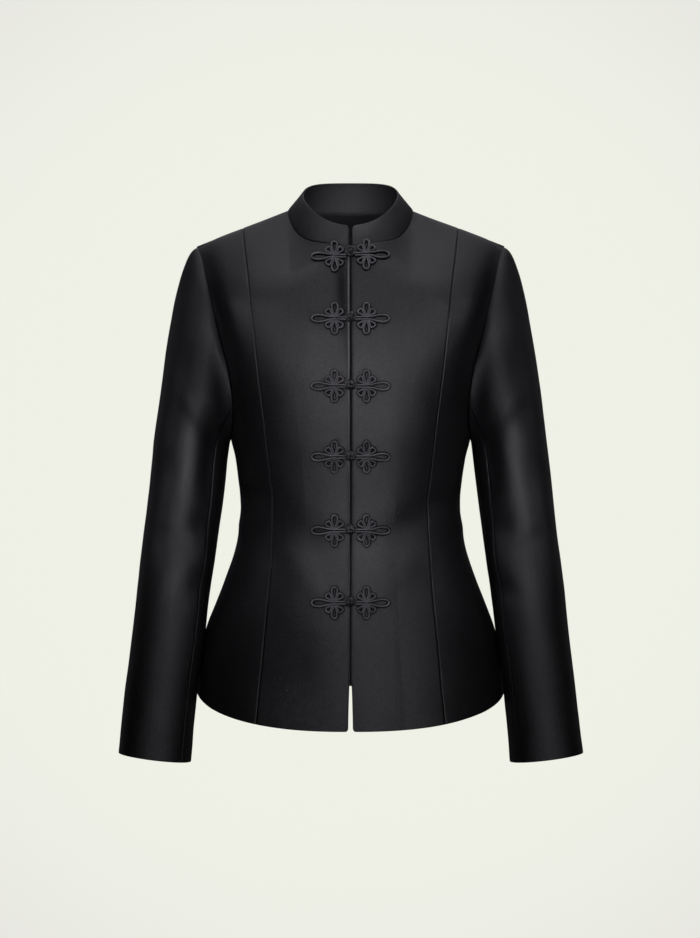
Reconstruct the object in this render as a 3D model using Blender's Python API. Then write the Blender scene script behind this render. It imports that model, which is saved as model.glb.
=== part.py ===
"""Tang jacket: a fitted satin jacket with a stand collar, princess seams, two-piece
set-in sleeves and six flower frogs with knot buttons, standing open as if it were worn.

Metres, +Z up, front towards -Y. The origin lies midway between the two points where
the shoulder seams meet the neck. Side +1 is the wearer's left, side -1 the right.
"""

import math
from collections import namedtuple

import bmesh
import bpy
import numpy as np

# Cloth and sewing
CLOTH_WALL = 0.0015
COLLAR_WALL = 0.0020
FACING_WALL = 0.0010
SEAM_GAP = 0.0003

# Shoulders and neck
NECK_HALF_WIDTH = 0.0750
NECK_POINT_HEIGHT = -0.0015
SHOULDER_HALF_WIDTH = 0.1850
SHOULDER_SLOPE = math.tan(math.radians(21.4))
INNER_RIDGE_CLIMB = 0.0350       # how far the ridge would climb inside the neck
SHOULDER_ROUND = 0.1050          # fall from the ridge to the full depth of the chest
RIDGE_RADIUS_NECK, RIDGE_RADIUS_ARM = 0.0140, 0.0220
NECK_CENTRE_Y = 0.0020
NECK_FRONT = 0.0760
NECK_BACK = 0.0480

# The back of the neck stands higher than the side, the front lower
RISE_UNIT = 0.0500
RISE_SLOPE = 0.0160
RISE_CURVE = 0.0060
RISE_NEAR, RISE_FAR = 0.0400, 0.1500
RISE_TOP, RISE_BOTTOM = -0.0400, -0.1400
BACK_RISE_SLOPE = 0.0015
BACK_RISE_CURVE = 0.0025
BACK_RISE_SIDES = 0.0115         # extra height of the back's neckline beside its middle

# Collar
COLLAR_END_GAP = 0.0022
COLLAR_BOW = 0.0012
RIM_HALF_WIDTH = 0.0570
RIM_FRONT = 0.0590
RIM_BACK = 0.0440
RIM_CENTRE_Y = -0.0010
RIM_MEAN_HEIGHT, RIM_TILT, RIM_SADDLE = 0.0118, 0.0305, 0.0062
COLLAR_CORNER_DROP = 0.0030
COLLAR_STEP = 0.0004             # from the neck seam to the collar's lower edge
COLLAR_FACING_Y = 1.1            # the collar's wall faces a little more to front and back
COLLAR_FACING_Z = 0.6            # and less up and down than its surface does

# Centre front, armholes and hem
FRONT_EDGE = 0.0006
SLIT_TOP, SLIT_BOTTOM, SLIT_HALF_WIDTH = -0.5250, -0.6150, 0.0026
BACK_EDGE = 0.00015
ARMPIT_HEIGHT = -0.2750
SIDE_HEM = -0.5720
PRINCESS_HEM = -0.6050
FRONT_HEM_DIP = 0.35
BACK_HEM_DIP = 0.09

# Sleeves
SLEEVE_SHIFT = 0.0006
SLEEVE_LEAN = math.radians(7.2)
FRONT_SLEEVE_SEAM = math.radians(140.0)
BACK_SLEEVE_SEAM = math.radians(240.0)
CAP_ROWS = (0.0, 0.07, 0.17, 0.30, 0.45, 0.62, 0.81, 1.0)

# Frogs
Frog = namedtuple("Frog", "height left_drop right_drop extra_lift")
FROGS = (
    Frog(-0.0586, 0.0030, 0.0052, 0.0008), Frog(-0.1360, 0.0018, 0.0018, 0.0),
    Frog(-0.2150, 0.0015, 0.0015, 0.0), Frog(-0.2966, 0.0015, 0.0015, 0.0),
    Frog(-0.3820, 0.0015, 0.0015, 0.0), Frog(-0.4657, 0.0015, 0.0015, 0.0),
)
FLOWER_REACH = 0.0185            # from the front edge to a flower's centre
CORD_RADIUS = 0.00133
CORD_LIFT = CORD_RADIUS + 2 * SEAM_GAP
ARM_HALF_WIDTH = 0.0027          # two cords side by side
KNOT_RADIUS = 0.0050
KNOT_LIFT = KNOT_RADIUS + SEAM_GAP
KNOT_LOOP_RADIUS = 0.0044
KNOT_LOOP_LIFT = 0.0026
KNOT_LOOP_POINTS = 9

# Outer length and half width of each loop, and of the hole in it where it is open
Petal = namedtuple("Petal", "turn length half_width hole_length hole_half_width")
SMALL_LOOP = (0.0142, 0.0040, 0.0, 0.0)
UPRIGHT_LOOP = (0.0190, 0.0051, 0.0163, 0.0024)
PETALS = (
    Petal(0, 0.0279, 0.0057, 0.0252, 0.0030), Petal(45, *SMALL_LOOP),
    Petal(90, *UPRIGHT_LOOP), Petal(135, *SMALL_LOOP),
    Petal(225, *SMALL_LOOP), Petal(270, *UPRIGHT_LOOP), Petal(315, *SMALL_LOOP),
)
TEARDROP_FULLNESS = 0.77         # widest part of sin(t) sin(t / 2)
LOOP_STEPS = (-22.5, -16.0, -8.0, 0.0, 8.0, 16.0)
FLOWER_BENDS = (((0, 1, 0), (-0.0080, 0.0070)), ((1, 0, 0), (0.0005, 0.0120)))
HOLE_STEPS = (75, 110, 155, 205, 250, 285)

# Numbers of rows and columns in the cloth
NECK_COLUMNS = 6
NECK_CROWDING = 0.9              # below 1 the columns stand closer together at the shoulder
SHOULDER_COLUMNS = 4
SIDE_COLUMNS = 6
ARM_ROWS = 9
COLLAR_ROWS = 3
FACING_ROWS = 3

Level = namedtuple("Level", "height half_width front_depth back_depth front_square back_square")
TORSO_LEVELS = (
    Level(0.090, 0.206, 0.056, 0.052, 2.4, 2.6),
    Level(0.000, 0.206, 0.068, 0.059, 2.4, 2.6),
    Level(-0.040, 0.205, 0.078, 0.070, 2.4, 2.6),
    Level(-0.100, 0.198, 0.099, 0.089, 2.5, 2.7),
    Level(-0.150, 0.184, 0.112, 0.096, 2.6, 2.7),
    Level(-0.200, 0.161, 0.1205, 0.099, 2.7, 2.6),
    Level(-0.250, 0.1468, 0.1200, 0.094, 2.6, 2.5),
    Level(-0.275, 0.1440, 0.1178, 0.0890, 2.5, 2.45),
    Level(-0.300, 0.1378, 0.1146, 0.083, 2.4, 2.4),
    Level(-0.355, 0.1318, 0.1068, 0.074, 2.3, 2.3),
    Level(-0.400, 0.1366, 0.1030, 0.081, 2.3, 2.3),
    Level(-0.445, 0.1512, 0.1062, 0.097, 2.3, 2.3),
    Level(-0.500, 0.1720, 0.1136, 0.112, 2.3, 2.3),
    Level(-0.550, 0.1822, 0.1194, 0.119, 2.3, 2.3),
    Level(-0.620, 0.1890, 0.1250, 0.123, 2.3, 2.3),
)

SeamPoint = namedtuple("SeamPoint", "height across")
SEAM_TOP = -0.023                # where the princess seams reach the shoulder seam
FRONT_PRINCESS = (
    SeamPoint(SEAM_TOP, 0.1290), SeamPoint(-0.113, 0.1170), SeamPoint(-0.205, 0.1070),
    SeamPoint(-0.280, 0.0980), SeamPoint(-0.355, 0.0910), SeamPoint(-0.416, 0.0925),
    SeamPoint(-0.501, 0.0996), SeamPoint(-0.610, 0.1100),
)
BACK_PRINCESS = (
    SeamPoint(SEAM_TOP, 0.1290), SeamPoint(-0.113, 0.1120), SeamPoint(-0.205, 0.0960),
    SeamPoint(-0.280, 0.0850), SeamPoint(-0.355, 0.0770), SeamPoint(-0.416, 0.0800),
    SeamPoint(-0.501, 0.0900), SeamPoint(-0.600, 0.1030),
)
FRONT_ARMHOLE = (
    SeamPoint(-0.0446, 0.1850), SeamPoint(-0.060, 0.1795), SeamPoint(-0.084, 0.1750),
    SeamPoint(-0.119, 0.1680), SeamPoint(-0.149, 0.1612), SeamPoint(-0.176, 0.1535),
    SeamPoint(-0.200, 0.1462), SeamPoint(-0.226, 0.1412), SeamPoint(-0.250, 0.1402),
    SeamPoint(-0.264, 0.1414), SeamPoint(-0.2725, 0.1435),
)
BACK_ARMHOLE = (
    SeamPoint(-0.0446, 0.1850), SeamPoint(-0.060, 0.1812), SeamPoint(-0.084, 0.1775),
    SeamPoint(-0.119, 0.1725), SeamPoint(-0.149, 0.1678), SeamPoint(-0.176, 0.1600),
    SeamPoint(-0.200, 0.1522), SeamPoint(-0.226, 0.1458), SeamPoint(-0.250, 0.1430),
    SeamPoint(-0.264, 0.1426), SeamPoint(-0.2725, 0.1436),
)
NECK_SEARCH, SEARCH_STEPS = 0.16, 40
HEM_STEPS, ARMHOLE_STEPS = 12, 240
SIDE_ROW_HEIGHTS = (-0.292, -0.312, -0.333, -0.355, -0.383, -0.412, -0.445, -0.485, -0.530)

SleeveLevel = namedtuple("SleeveLevel", "height outer inner centre_y half_depth")
SLEEVE_LEVELS = (
    SleeveLevel(-0.285, 0.2360, 0.1462, 0.004, 0.0520),
    SleeveLevel(-0.316, 0.2396, 0.1496, 0.004, 0.0500),
    SleeveLevel(-0.347, 0.2428, 0.1534, 0.002, 0.0480),
    SleeveLevel(-0.402, 0.2487, 0.1603, -0.005, 0.0455),
    SleeveLevel(-0.445, 0.2533, 0.1665, -0.013, 0.0440),
    SleeveLevel(-0.503, 0.2589, 0.1732, -0.024, 0.0415),
    SleeveLevel(-0.556, 0.2641, 0.1796, -0.036, 0.0392),
    SleeveLevel(-0.608, 0.2698, 0.1850, -0.044, 0.0372),
    SleeveLevel(-0.652, 0.2742, 0.1884, -0.050, 0.0360),
)
SLEEVE_ROW_HEIGHTS = (
    -0.306, -0.326, -0.345, -0.362, -0.378, -0.394, -0.412, -0.440, -0.475,
    -0.515, -0.560, -0.606, -0.652,
)
# The two ends of the cap's curves: how far they leave the armhole and reach the arm
CAP_OUT_TOP, CAP_OUT_UNDER = 0.0770, 0.0060
CAP_FALL_TOP, CAP_FALL_UNDER = 0.0000, 0.0200
CAP_SWELL = 0.0450
ARM_REACH_TOP, ARM_REACH_UNDER = 0.2000, 0.0350

# Soft folds. Each is a ridge (positive) or trough along a short line on the cloth.
Fold = namedtuple("Fold", "across height length width turn lift")
BODY_FOLDS = (
    Fold(-0.056, -0.432, 0.044, 0.015, -54.0, 0.0015),
    Fold(-0.040, -0.398, 0.040, 0.017, -50.0, -0.0013),
    Fold(-0.040, -0.470, 0.036, 0.017, -40.0, -0.0010),
    Fold(0.069, -0.369, 0.032, 0.015, 34.0, -0.0017),
    Fold(0.075, -0.427, 0.046, 0.018, 55.0, 0.0011),
    Fold(0.055, -0.455, 0.040, 0.016, 58.0, -0.0010),
    Fold(-0.118, -0.345, 0.032, 0.009, 8.0, -0.0018),
    Fold(0.116, -0.350, 0.032, 0.009, -8.0, -0.0018),
    Fold(-0.120, -0.375, 0.030, 0.009, 14.0, 0.0014),
    Fold(0.120, -0.378, 0.030, 0.009, -14.0, 0.0014),
    Fold(-0.163, -0.125, 0.080, 0.015, -76.0, -0.0070),
    Fold(0.163, -0.125, 0.080, 0.015, 76.0, -0.0070),
)
BACK_FOLDS = (
    Fold(-0.045, -0.345, 0.050, 0.012, 24.0, -0.0024),
    Fold(0.050, -0.340, 0.048, 0.012, -26.0, -0.0024),
    Fold(-0.040, -0.385, 0.045, 0.013, -18.0, 0.0022),
    Fold(0.044, -0.382, 0.045, 0.013, 20.0, 0.0022),
    Fold(-0.100, -0.160, 0.060, 0.015, 62.0, -0.0020),
    Fold(0.102, -0.165, 0.060, 0.015, -62.0, -0.0020),
)
# On a sleeve the place is an angle round it (0 outside, 90 front) and a height
SleeveFold = namedtuple("SleeveFold", "angle height spread width climb lift")
SLEEVE_FOLDS = (
    SleeveFold(130.0, -0.305, 24.0, 0.062, 0.000, -0.0070),
    SleeveFold(112.0, -0.382, 45.0, 0.020, 0.016, -0.0028),
    SleeveFold(95.0, -0.424, 55.0, 0.022, 0.014, 0.0014),
    SleeveFold(120.0, -0.456, 40.0, 0.015, 0.012, -0.0022),
    SleeveFold(70.0, -0.310, 40.0, 0.020, 0.045, -0.0014),
    SleeveFold(262.0, -0.340, 45.0, 0.018, -0.010, -0.0024),
    SleeveFold(265.0, -0.395, 45.0, 0.018, 0.010, -0.0026),
    SleeveFold(268.0, -0.480, 48.0, 0.022, 0.012, -0.0020),
    SleeveFold(70.0, -0.560, 50.0, 0.028, 0.030, -0.0010),
)

SHARP_FROM = math.radians(50.0)  # edges sharper than this are drawn as creases
Finish = namedtuple("Finish", "colour roughness metallic")
SATIN = Finish((0.0105, 0.0100, 0.0115, 1.0), 0.42, 0.0)
SATIN_INSIDE = Finish((0.0120, 0.0115, 0.0130, 1.0), 0.50, 0.0)
CORD_SATIN = Finish((0.0090, 0.0088, 0.0100, 1.0), 0.48, 0.0)


# ---------------------------------------------------------------- small maths

def clamp(value, low=0.0, high=1.0):
    return max(low, min(high, value))


def smoothstep(value, start, end):
    t = clamp((value - start) / (end - start))
    return t * t * (3.0 - 2.0 * t)


def table_value(rows, column, height):
    """A column of a table at any height, by a cubic through its rows."""
    heights = [row.height for row in rows]
    values = [getattr(row, column) for row in rows]
    height = clamp(height, heights[-1], heights[0])
    last = len(rows) - 2
    i = next((k for k in range(last) if height >= heights[k + 1]), last)

    def slope(k):
        low, high = max(k - 1, 0), min(k + 1, len(rows) - 1)
        return (values[high] - values[low]) / (heights[high] - heights[low])

    span = heights[i + 1] - heights[i]
    t = (height - heights[i]) / span
    return (
        values[i] * (2 * t**3 - 3 * t**2 + 1)
        + slope(i) * span * (t**3 - 2 * t**2 + t)
        + values[i + 1] * (3 * t**2 - 2 * t**3)
        + slope(i + 1) * span * (t**3 - t**2)
    )


def unit(vector):
    length = float(np.linalg.norm(vector))
    return vector / length if length > 1e-12 else vector * 0.0


# ---------------------------------------------------------------- torso surface

def ridge_height(across):
    """Height of the shoulder line above a distance from the centre."""
    inside = 1.0 - (across / NECK_HALF_WIDTH) ** 2
    if inside <= 0.0:
        return NECK_POINT_HEIGHT - SHOULDER_SLOPE * (across - NECK_HALF_WIDTH)
    return (NECK_POINT_HEIGHT + SHOULDER_SLOPE * NECK_HALF_WIDTH * inside / 2
            + INNER_RIDGE_CLIMB * inside * inside)


def ridge_y(across):
    """The shoulder seam lies a little behind the centre at the neck."""
    return NECK_CENTRE_Y * clamp((SHOULDER_HALF_WIDTH - across) / SHOULDER_HALF_WIDTH)


def neck_rise(across, y, level):
    """How far the cloth near the neck stands above the plain shoulder."""
    t = clamp(y / RISE_UNIT, -1.6, 1.2)
    near = 1.0 - smoothstep(across, RISE_NEAR, RISE_FAR)
    high = 1.0 - smoothstep(-level, -RISE_TOP, -RISE_BOTTOM)
    if y <= 0.0:
        return (RISE_SLOPE * t + RISE_CURVE * t * t) * near * high
    outwards = clamp(across / NECK_HALF_WIDTH) ** 2
    sides = BACK_RISE_SIDES * 4 * outwards * (1.0 - outwards)
    return ((BACK_RISE_SLOPE + sides) * t + BACK_RISE_CURVE * t * t) * near * high


def face_columns(face):
    return ("front_depth", "front_square") if face < 0 else ("back_depth", "back_square")


def torso_point(face, angle, level):
    """Outer surface of the body. face is -1 in front and 1 behind, angle runs from the
    centre line to the side seam at a right angle, level is the height before the rise."""
    depth_name, square_name = face_columns(face)
    half_width = table_value(TORSO_LEVELS, "half_width", level)
    depth = table_value(TORSO_LEVELS, depth_name, level)
    square = table_value(TORSO_LEVELS, square_name, level)
    across = half_width * math.sin(angle) ** (2.0 / square)
    full = depth * max(math.cos(angle), 0.0)
    drop = clamp((ridge_height(across) - level) / SHOULDER_ROUND)
    outer = smoothstep(across, NECK_HALF_WIDTH, SHOULDER_HALF_WIDTH)
    ridge = RIDGE_RADIUS_NECK + (RIDGE_RADIUS_ARM - RIDGE_RADIUS_NECK) * outer
    reach = (math.hypot(full, ridge) - ridge) * (1.0 - (1.0 - drop) ** 2)
    out = math.sqrt((reach + ridge) ** 2 - ridge**2)
    y = ridge_y(across) + face * out
    return np.array((across, y, level + neck_rise(across, y, level)))


def angle_at(face, across, level):
    """The angle whose point lies a given distance from the centre line."""
    half_width = table_value(TORSO_LEVELS, "half_width", level)
    square = table_value(TORSO_LEVELS, face_columns(face)[1], level)
    return math.asin(clamp(across / half_width) ** (square / 2.0))


def princess_angle(face, level):
    rows = FRONT_PRINCESS if face < 0 else BACK_PRINCESS
    return angle_at(face, table_value(rows, "across", level), level)


def centre_edge(face, level):
    """Half the gap between the two centre panels."""
    if face > 0:
        return BACK_EDGE
    opened = smoothstep(-level, -SLIT_TOP, -SLIT_BOTTOM)
    return FRONT_EDGE + (SLIT_HALF_WIDTH - FRONT_EDGE) * opened


def neck_corner(face, turn):
    """(angle, level) on the neckline. turn is 0 at the centre and 1 at the shoulder."""
    around = turn * math.pi / 2
    across = max(NECK_HALF_WIDTH * math.sin(around), centre_edge(face, 0.0))
    radius = NECK_FRONT if face < 0 else NECK_BACK
    wanted = NECK_CENTRE_Y + face * radius * math.cos(around)
    high, low = ridge_height(across), ridge_height(across) - NECK_SEARCH
    for _ in range(SEARCH_STEPS):
        middle = (high + low) / 2
        y = torso_point(face, angle_at(face, across, middle), middle)[1]
        if face * (y - wanted) < 0:
            high = middle
        else:
            low = middle
    level = (high + low) / 2
    if turn >= 1.0:
        level = ridge_height(across)
    return angle_at(face, across, level), level


def hem_level(face, angle):
    """The hem dips towards the centre front and a little towards the centre back."""
    dip = FRONT_HEM_DIP if face < 0 else BACK_HEM_DIP
    level = SIDE_HEM
    for _ in range(HEM_STEPS):
        level = SIDE_HEM - dip * abs(torso_point(face, angle, level)[1])
    return level


# ---------------------------------------------------------------- body panels

def centre_angle(face, share, level):
    """The angle part of the way from the centre edge (0) to the princess seam (1)."""
    edge = angle_at(face, centre_edge(face, level), level)
    return edge + share * (princess_angle(face, level) - edge)


def hem_foot(face, share):
    """The level where a column of the centre panel meets the hem."""
    foot = PRINCESS_HEM
    for _ in range(HEM_STEPS):
        foot = hem_level(face, centre_angle(face, share, foot))
    return foot


def princess_levels(face):
    """Levels of the rows where they cross the princess seam, shoulder to hem."""
    top = ridge_height(table_value(FRONT_PRINCESS, "across", SEAM_TOP))
    arm = [top + (ARMPIT_HEIGHT - top) * i / ARM_ROWS for i in range(ARM_ROWS + 1)]
    hem = hem_foot(face, 1.0)
    rows = arm + list(SIDE_ROW_HEIGHTS)
    rows += [(SIDE_ROW_HEIGHTS[-1] + hem) / 2, hem]
    return rows


def centre_panel(face):
    """Grid of (angle, level) from the centre line to the princess seam."""
    levels = princess_levels(face)
    top, hem = levels[0], levels[-1]
    shares = [(level - top) / (hem - top) for level in levels]
    turns = [(i / NECK_COLUMNS) ** NECK_CROWDING for i in range(NECK_COLUMNS + 1)]
    heads = [neck_corner(face, turn) for turn in turns]
    start = NECK_HALF_WIDTH
    end = table_value(FRONT_PRINCESS, "across", top)
    for i in range(1, SHOULDER_COLUMNS + 1):
        across = start + (end - start) * i / SHOULDER_COLUMNS
        level = ridge_height(across)
        heads.append((angle_at(face, across, level), level))
    columns = []
    for angle, level in heads:
        edge = angle_at(face, centre_edge(face, level), level)
        across = clamp((angle - edge) / (princess_angle(face, level) - edge))
        columns.append((across, level))
    grid = [[None] * len(columns) for _ in levels]
    for j, (share, head) in enumerate(columns):
        foot = hem_foot(face, share)
        for i, down in enumerate(shares):
            level = head + (foot - head) * down
            grid[i][j] = (centre_angle(face, share, level), level)
    return grid


def armhole_corners(face):
    """(angle, level) of the armhole's points, shoulder to armpit, evenly along it."""
    rows = FRONT_ARMHOLE if face < 0 else BACK_ARMHOLE
    top, foot = ridge_height(SHOULDER_HALF_WIDTH), rows[-1].height
    corners = [(angle_at(face, SHOULDER_HALF_WIDTH, top), top)]
    for i in range(1, ARMHOLE_STEPS + 1):
        height = top + (foot - top) * i / ARMHOLE_STEPS
        corners.append((angle_at(face, table_value(rows, "across", height), height), height))
    corners.append((math.pi / 2, ARMPIT_HEIGHT))
    points = [torso_point(face, *corner) for corner in corners]
    steps = [np.linalg.norm(b - a) for a, b in zip(points, points[1:])]
    lengths = np.concatenate(([0.0], np.cumsum(steps)))
    picked = []
    for i in range(ARM_ROWS + 1):
        target = lengths[-1] * i / ARM_ROWS
        k = int(np.clip(np.searchsorted(lengths, target) - 1, 0, len(steps) - 1))
        t = (target - lengths[k]) / (lengths[k + 1] - lengths[k])
        picked.append(tuple(np.array(corners[k]) * (1 - t) + np.array(corners[k + 1]) * t))
    return picked


def side_panel(face):
    """Grid of (angle, level) from the princess seam to the armhole and side seam."""
    levels = princess_levels(face)
    outer = armhole_corners(face)
    below = SIDE_ROW_HEIGHTS + ((SIDE_ROW_HEIGHTS[-1] + PRINCESS_HEM) / 2, PRINCESS_HEM)
    span = (SIDE_HEM - ARMPIT_HEIGHT) / (PRINCESS_HEM - ARMPIT_HEIGHT)
    outer += [(math.pi / 2, ARMPIT_HEIGHT + (level - ARMPIT_HEIGHT) * span) for level in below]
    grid = []
    for i, level in enumerate(levels):
        row = []
        for j in range(SIDE_COLUMNS + 1):
            t = j / SIDE_COLUMNS
            inner_angle = princess_angle(face, level)
            angle = inner_angle + (outer[i][0] - inner_angle) * t
            row.append((angle, level + (outer[i][1] - level) * t))
        grid.append(row)
    start = table_value(FRONT_PRINCESS, "across", levels[0])
    for j in range(SIDE_COLUMNS + 1):
        across = start + (SHOULDER_HALF_WIDTH - start) * j / SIDE_COLUMNS
        grid[0][j] = (angle_at(face, across, ridge_height(across)), ridge_height(across))
    for j in range(1, SIDE_COLUMNS):
        angle = grid[-1][j][0]
        grid[-1][j] = (angle, hem_level(face, angle))
    return grid


def fold_lift(folds, across, height):
    lift = 0.0
    for fold in folds:
        turn = math.radians(fold.turn)
        dx, dz = across - fold.across, height - fold.height
        along = dx * math.cos(turn) + dz * math.sin(turn)
        off = -dx * math.sin(turn) + dz * math.cos(turn)
        lift += fold.lift * math.exp(-((along / fold.length) ** 2) - (off / fold.width) ** 2)
    return lift


def placed(face, side, grid):
    """The grid's points in space, on one side of the jacket."""
    points = np.array([[torso_point(face, *corner) for corner in row] for row in grid])
    points[:, :, 0] *= side
    return points


# ---------------------------------------------------------------- sleeves

def sleeve_section(height, angle):
    """A point round the arm, with the section square to the leaning arm."""
    outer = table_value(SLEEVE_LEVELS, "outer", height)
    inner = table_value(SLEEVE_LEVELS, "inner", height)
    centre_y = table_value(SLEEVE_LEVELS, "centre_y", height)
    half_depth = table_value(SLEEVE_LEVELS, "half_depth", height)
    middle, half = (outer + inner) / 2, (outer - inner) / 2
    lift = 0.0
    for fold in SLEEVE_FOLDS:
        turned = (math.degrees(angle) - fold.angle + 180.0) % 360.0 - 180.0
        off = height - fold.height - fold.climb * turned / 60.0
        lift += fold.lift * math.exp(-((turned / fold.spread) ** 2) - (off / fold.width) ** 2)
    return np.array((
        middle + (half + lift) * math.cos(angle),
        centre_y - (half_depth + lift) * math.sin(angle),
        height + half * math.cos(angle) * math.tan(SLEEVE_LEAN),
    ))


def sleeve_angles():
    """Angles of the sleeve's columns: over the top, down the front, under, up the back."""
    front = [math.pi * i / ARM_ROWS for i in range(ARM_ROWS + 1)]
    back = [math.pi * (1 + i / ARM_ROWS) for i in range(1, ARM_ROWS)]
    angles = front + back
    for wanted in (FRONT_SLEEVE_SEAM, BACK_SLEEVE_SEAM):
        nearest = min(range(len(angles)), key=lambda k: abs(angles[k] - wanted))
        angles[nearest] = wanted
    return angles


def sleeve_points(side, front_arm, back_arm):
    """Rows of rings from the armhole to the cuff. The first ring repeats the armhole."""
    angles = sleeve_angles()
    armhole = list(front_arm) + list(back_arm[-2:0:-1])
    rows = []
    start = SLEEVE_LEVELS[0].height
    for t in CAP_ROWS:
        ring = []
        for angle, root in zip(angles, armhole):
            top = (1 + math.cos(angle)) / 2
            swell = CAP_SWELL * math.sqrt(abs(math.sin(angle))) * min(1.0, 2 * top)
            end = sleeve_section(start, angle)
            leave = np.array((
                CAP_OUT_UNDER + (CAP_OUT_TOP - CAP_OUT_UNDER) * top,
                -math.copysign(swell, math.sin(angle)),
                -(CAP_FALL_UNDER + (CAP_FALL_TOP - CAP_FALL_UNDER) * top),
            ))
            reach = ARM_REACH_UNDER + (ARM_REACH_TOP - ARM_REACH_UNDER) * top
            arrive = np.array((math.sin(SLEEVE_LEAN), 0.0, -math.cos(SLEEVE_LEAN))) * reach
            root = root * np.array((side, 1.0, 1.0)) + np.array((SLEEVE_SHIFT, 0.0, 0.0))
            point = (root * (2 * t**3 - 3 * t**2 + 1) + leave * (t**3 - 2 * t**2 + t)
                     + end * (3 * t**2 - 2 * t**3) + arrive * (t**3 - t**2))
            ring.append(point)
        rows.append(ring)
    for height in SLEEVE_ROW_HEIGHTS:
        rows.append([sleeve_section(height, angle) for angle in angles])
    points = np.array(rows)
    points[:, :, 0] *= side
    return points


def sleeve_columns():
    """Column numbers of the front and the back seam."""
    angles = sleeve_angles()
    return angles.index(FRONT_SLEEVE_SEAM), angles.index(BACK_SLEEVE_SEAM)


# ---------------------------------------------------------------- collar

def collar_turns():
    """Places round the neck, 0 at the centre front to 2 at the centre back."""
    front = [(i / NECK_COLUMNS) ** NECK_CROWDING for i in range(NECK_COLUMNS + 1)]
    back = [2.0 - (i / NECK_COLUMNS) ** NECK_CROWDING for i in range(NECK_COLUMNS - 1, -1, -1)]
    return front + back


def neck_point(turn):
    face, part = (-1, turn) if turn <= 1.0 else (1, 2.0 - turn)
    return torso_point(face, *neck_corner(face, part))


def rim_point(turn):
    around = turn * math.pi / 2
    depth = RIM_FRONT if turn <= 1.0 else RIM_BACK
    height = (RIM_MEAN_HEIGHT - RIM_TILT * math.cos(around)
              - RIM_SADDLE * math.cos(2 * around))
    return np.array((RIM_HALF_WIDTH * math.sin(around),
                     RIM_CENTRE_Y - depth * math.cos(around), height))


def collar_points():
    """Rows from the neck seam to the rim, columns from one front end to the other."""
    half = []
    for turn in collar_turns():
        base, rim = neck_point(turn), rim_point(turn)
        climb = unit(rim - base)
        base = base + climb * COLLAR_STEP
        outward = unit(np.array((base[0], base[1] * COLLAR_FACING_Y, 0.0)))
        column = []
        for i in range(COLLAR_ROWS + 1):
            t = i / COLLAR_ROWS
            bow = COLLAR_BOW * 4 * t * (1 - t)
            column.append(base + (rim - base) * t + outward * bow)
        half.append(column)
    for i in range(COLLAR_ROWS + 1):
        half[0][i][0] = COLLAR_END_GAP
        half[-1][i][0] = 0.0
    half[0][COLLAR_ROWS] = half[0][COLLAR_ROWS] - np.array((0.0, 0.0, COLLAR_CORNER_DROP))
    mirrored = [[point * np.array((-1.0, 1.0, 1.0)) for point in column] for column in half]
    columns = half + mirrored[-2::-1]
    return np.array(columns).transpose(1, 0, 2)


# ---------------------------------------------------------------- walls

def grid_normals(points, heart):
    """Unit normals of a grid, pointing away from a point or a line of points inside."""
    across = np.zeros_like(points)
    down = np.zeros_like(points)
    across[:, 1:-1] = points[:, 2:] - points[:, :-2]
    across[:, 0] = points[:, 1] - points[:, 0]
    across[:, -1] = points[:, -1] - points[:, -2]
    down[1:-1] = points[2:] - points[:-2]
    down[0] = points[1] - points[0]
    down[-1] = points[-1] - points[-2]
    normals = np.cross(down, across)
    normals /= np.maximum(np.linalg.norm(normals, axis=2, keepdims=True), 1e-12)
    middle = points[points.shape[0] // 2, points.shape[1] // 2]
    toward = normals[points.shape[0] // 2, points.shape[1] // 2]
    if np.dot(toward, middle - np.array(heart)) < 0:
        normals = -normals
    return normals


def seam_key(point):
    return tuple(int(round(c * 20000)) for c in point)


def shared_normals(grids, normals):
    """Averages the normals of panels that meet, so that their walls meet square."""
    total = {}
    for name, points in grids.items():
        for point, normal in zip(points.reshape(-1, 3), normals[name].reshape(-1, 3)):
            total.setdefault(seam_key(point), []).append(normal.copy())
    for name, points in grids.items():
        flat = normals[name].reshape(-1, 3)
        for k, point in enumerate(points.reshape(-1, 3)):
            flat[k] = unit(sum(total[seam_key(point)]))
        if "centre" in name:
            normals[name][:, 0, 0] = 0.0
            normals[name][:, 0] /= np.linalg.norm(normals[name][:, 0], axis=1, keepdims=True)


def pulled_back(points, normals, edges):
    """Moves the named edges of a grid inwards by half a seam gap."""
    moved = points.copy()
    rows, columns = points.shape[:2]
    edge_slices = {
        "top": ([(0, j) for j in range(columns)], (1, 0)),
        "left": ([(i, 0) for i in range(rows)], (0, 1)),
        "right": ([(i, columns - 1) for i in range(rows)], (0, -1)),
    }
    for edge in edges:
        places, step = edge_slices[edge]
        for k, (i, j) in enumerate(places):
            before, after = places[max(k - 1, 0)], places[min(k + 1, len(places) - 1)]
            tangent = unit(points[after] - points[before])
            inward = np.cross(normals[i, j], tangent)
            inside = points[i + step[0], j + step[1]] - points[i, j]
            if np.dot(inward, inside) < 0:
                inward = -inward
            moved[i, j] += inward * SEAM_GAP / 2
    return moved


def grid_triangles(points):
    """Places of the corners of each cell's two triangles, cut along the short diagonal."""
    triangles = []
    for i in range(points.shape[0] - 1):
        for j in range(points.shape[1] - 1):
            a, b, c, d = (i, j), (i + 1, j), (i + 1, j + 1), (i, j + 1)
            down = np.linalg.norm(points[a] - points[c])
            if down <= np.linalg.norm(points[b] - points[d]):
                triangles += [(a, b, c), (a, c, d)]
            else:
                triangles += [(a, b, d), (b, c, d)]
    return triangles


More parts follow.
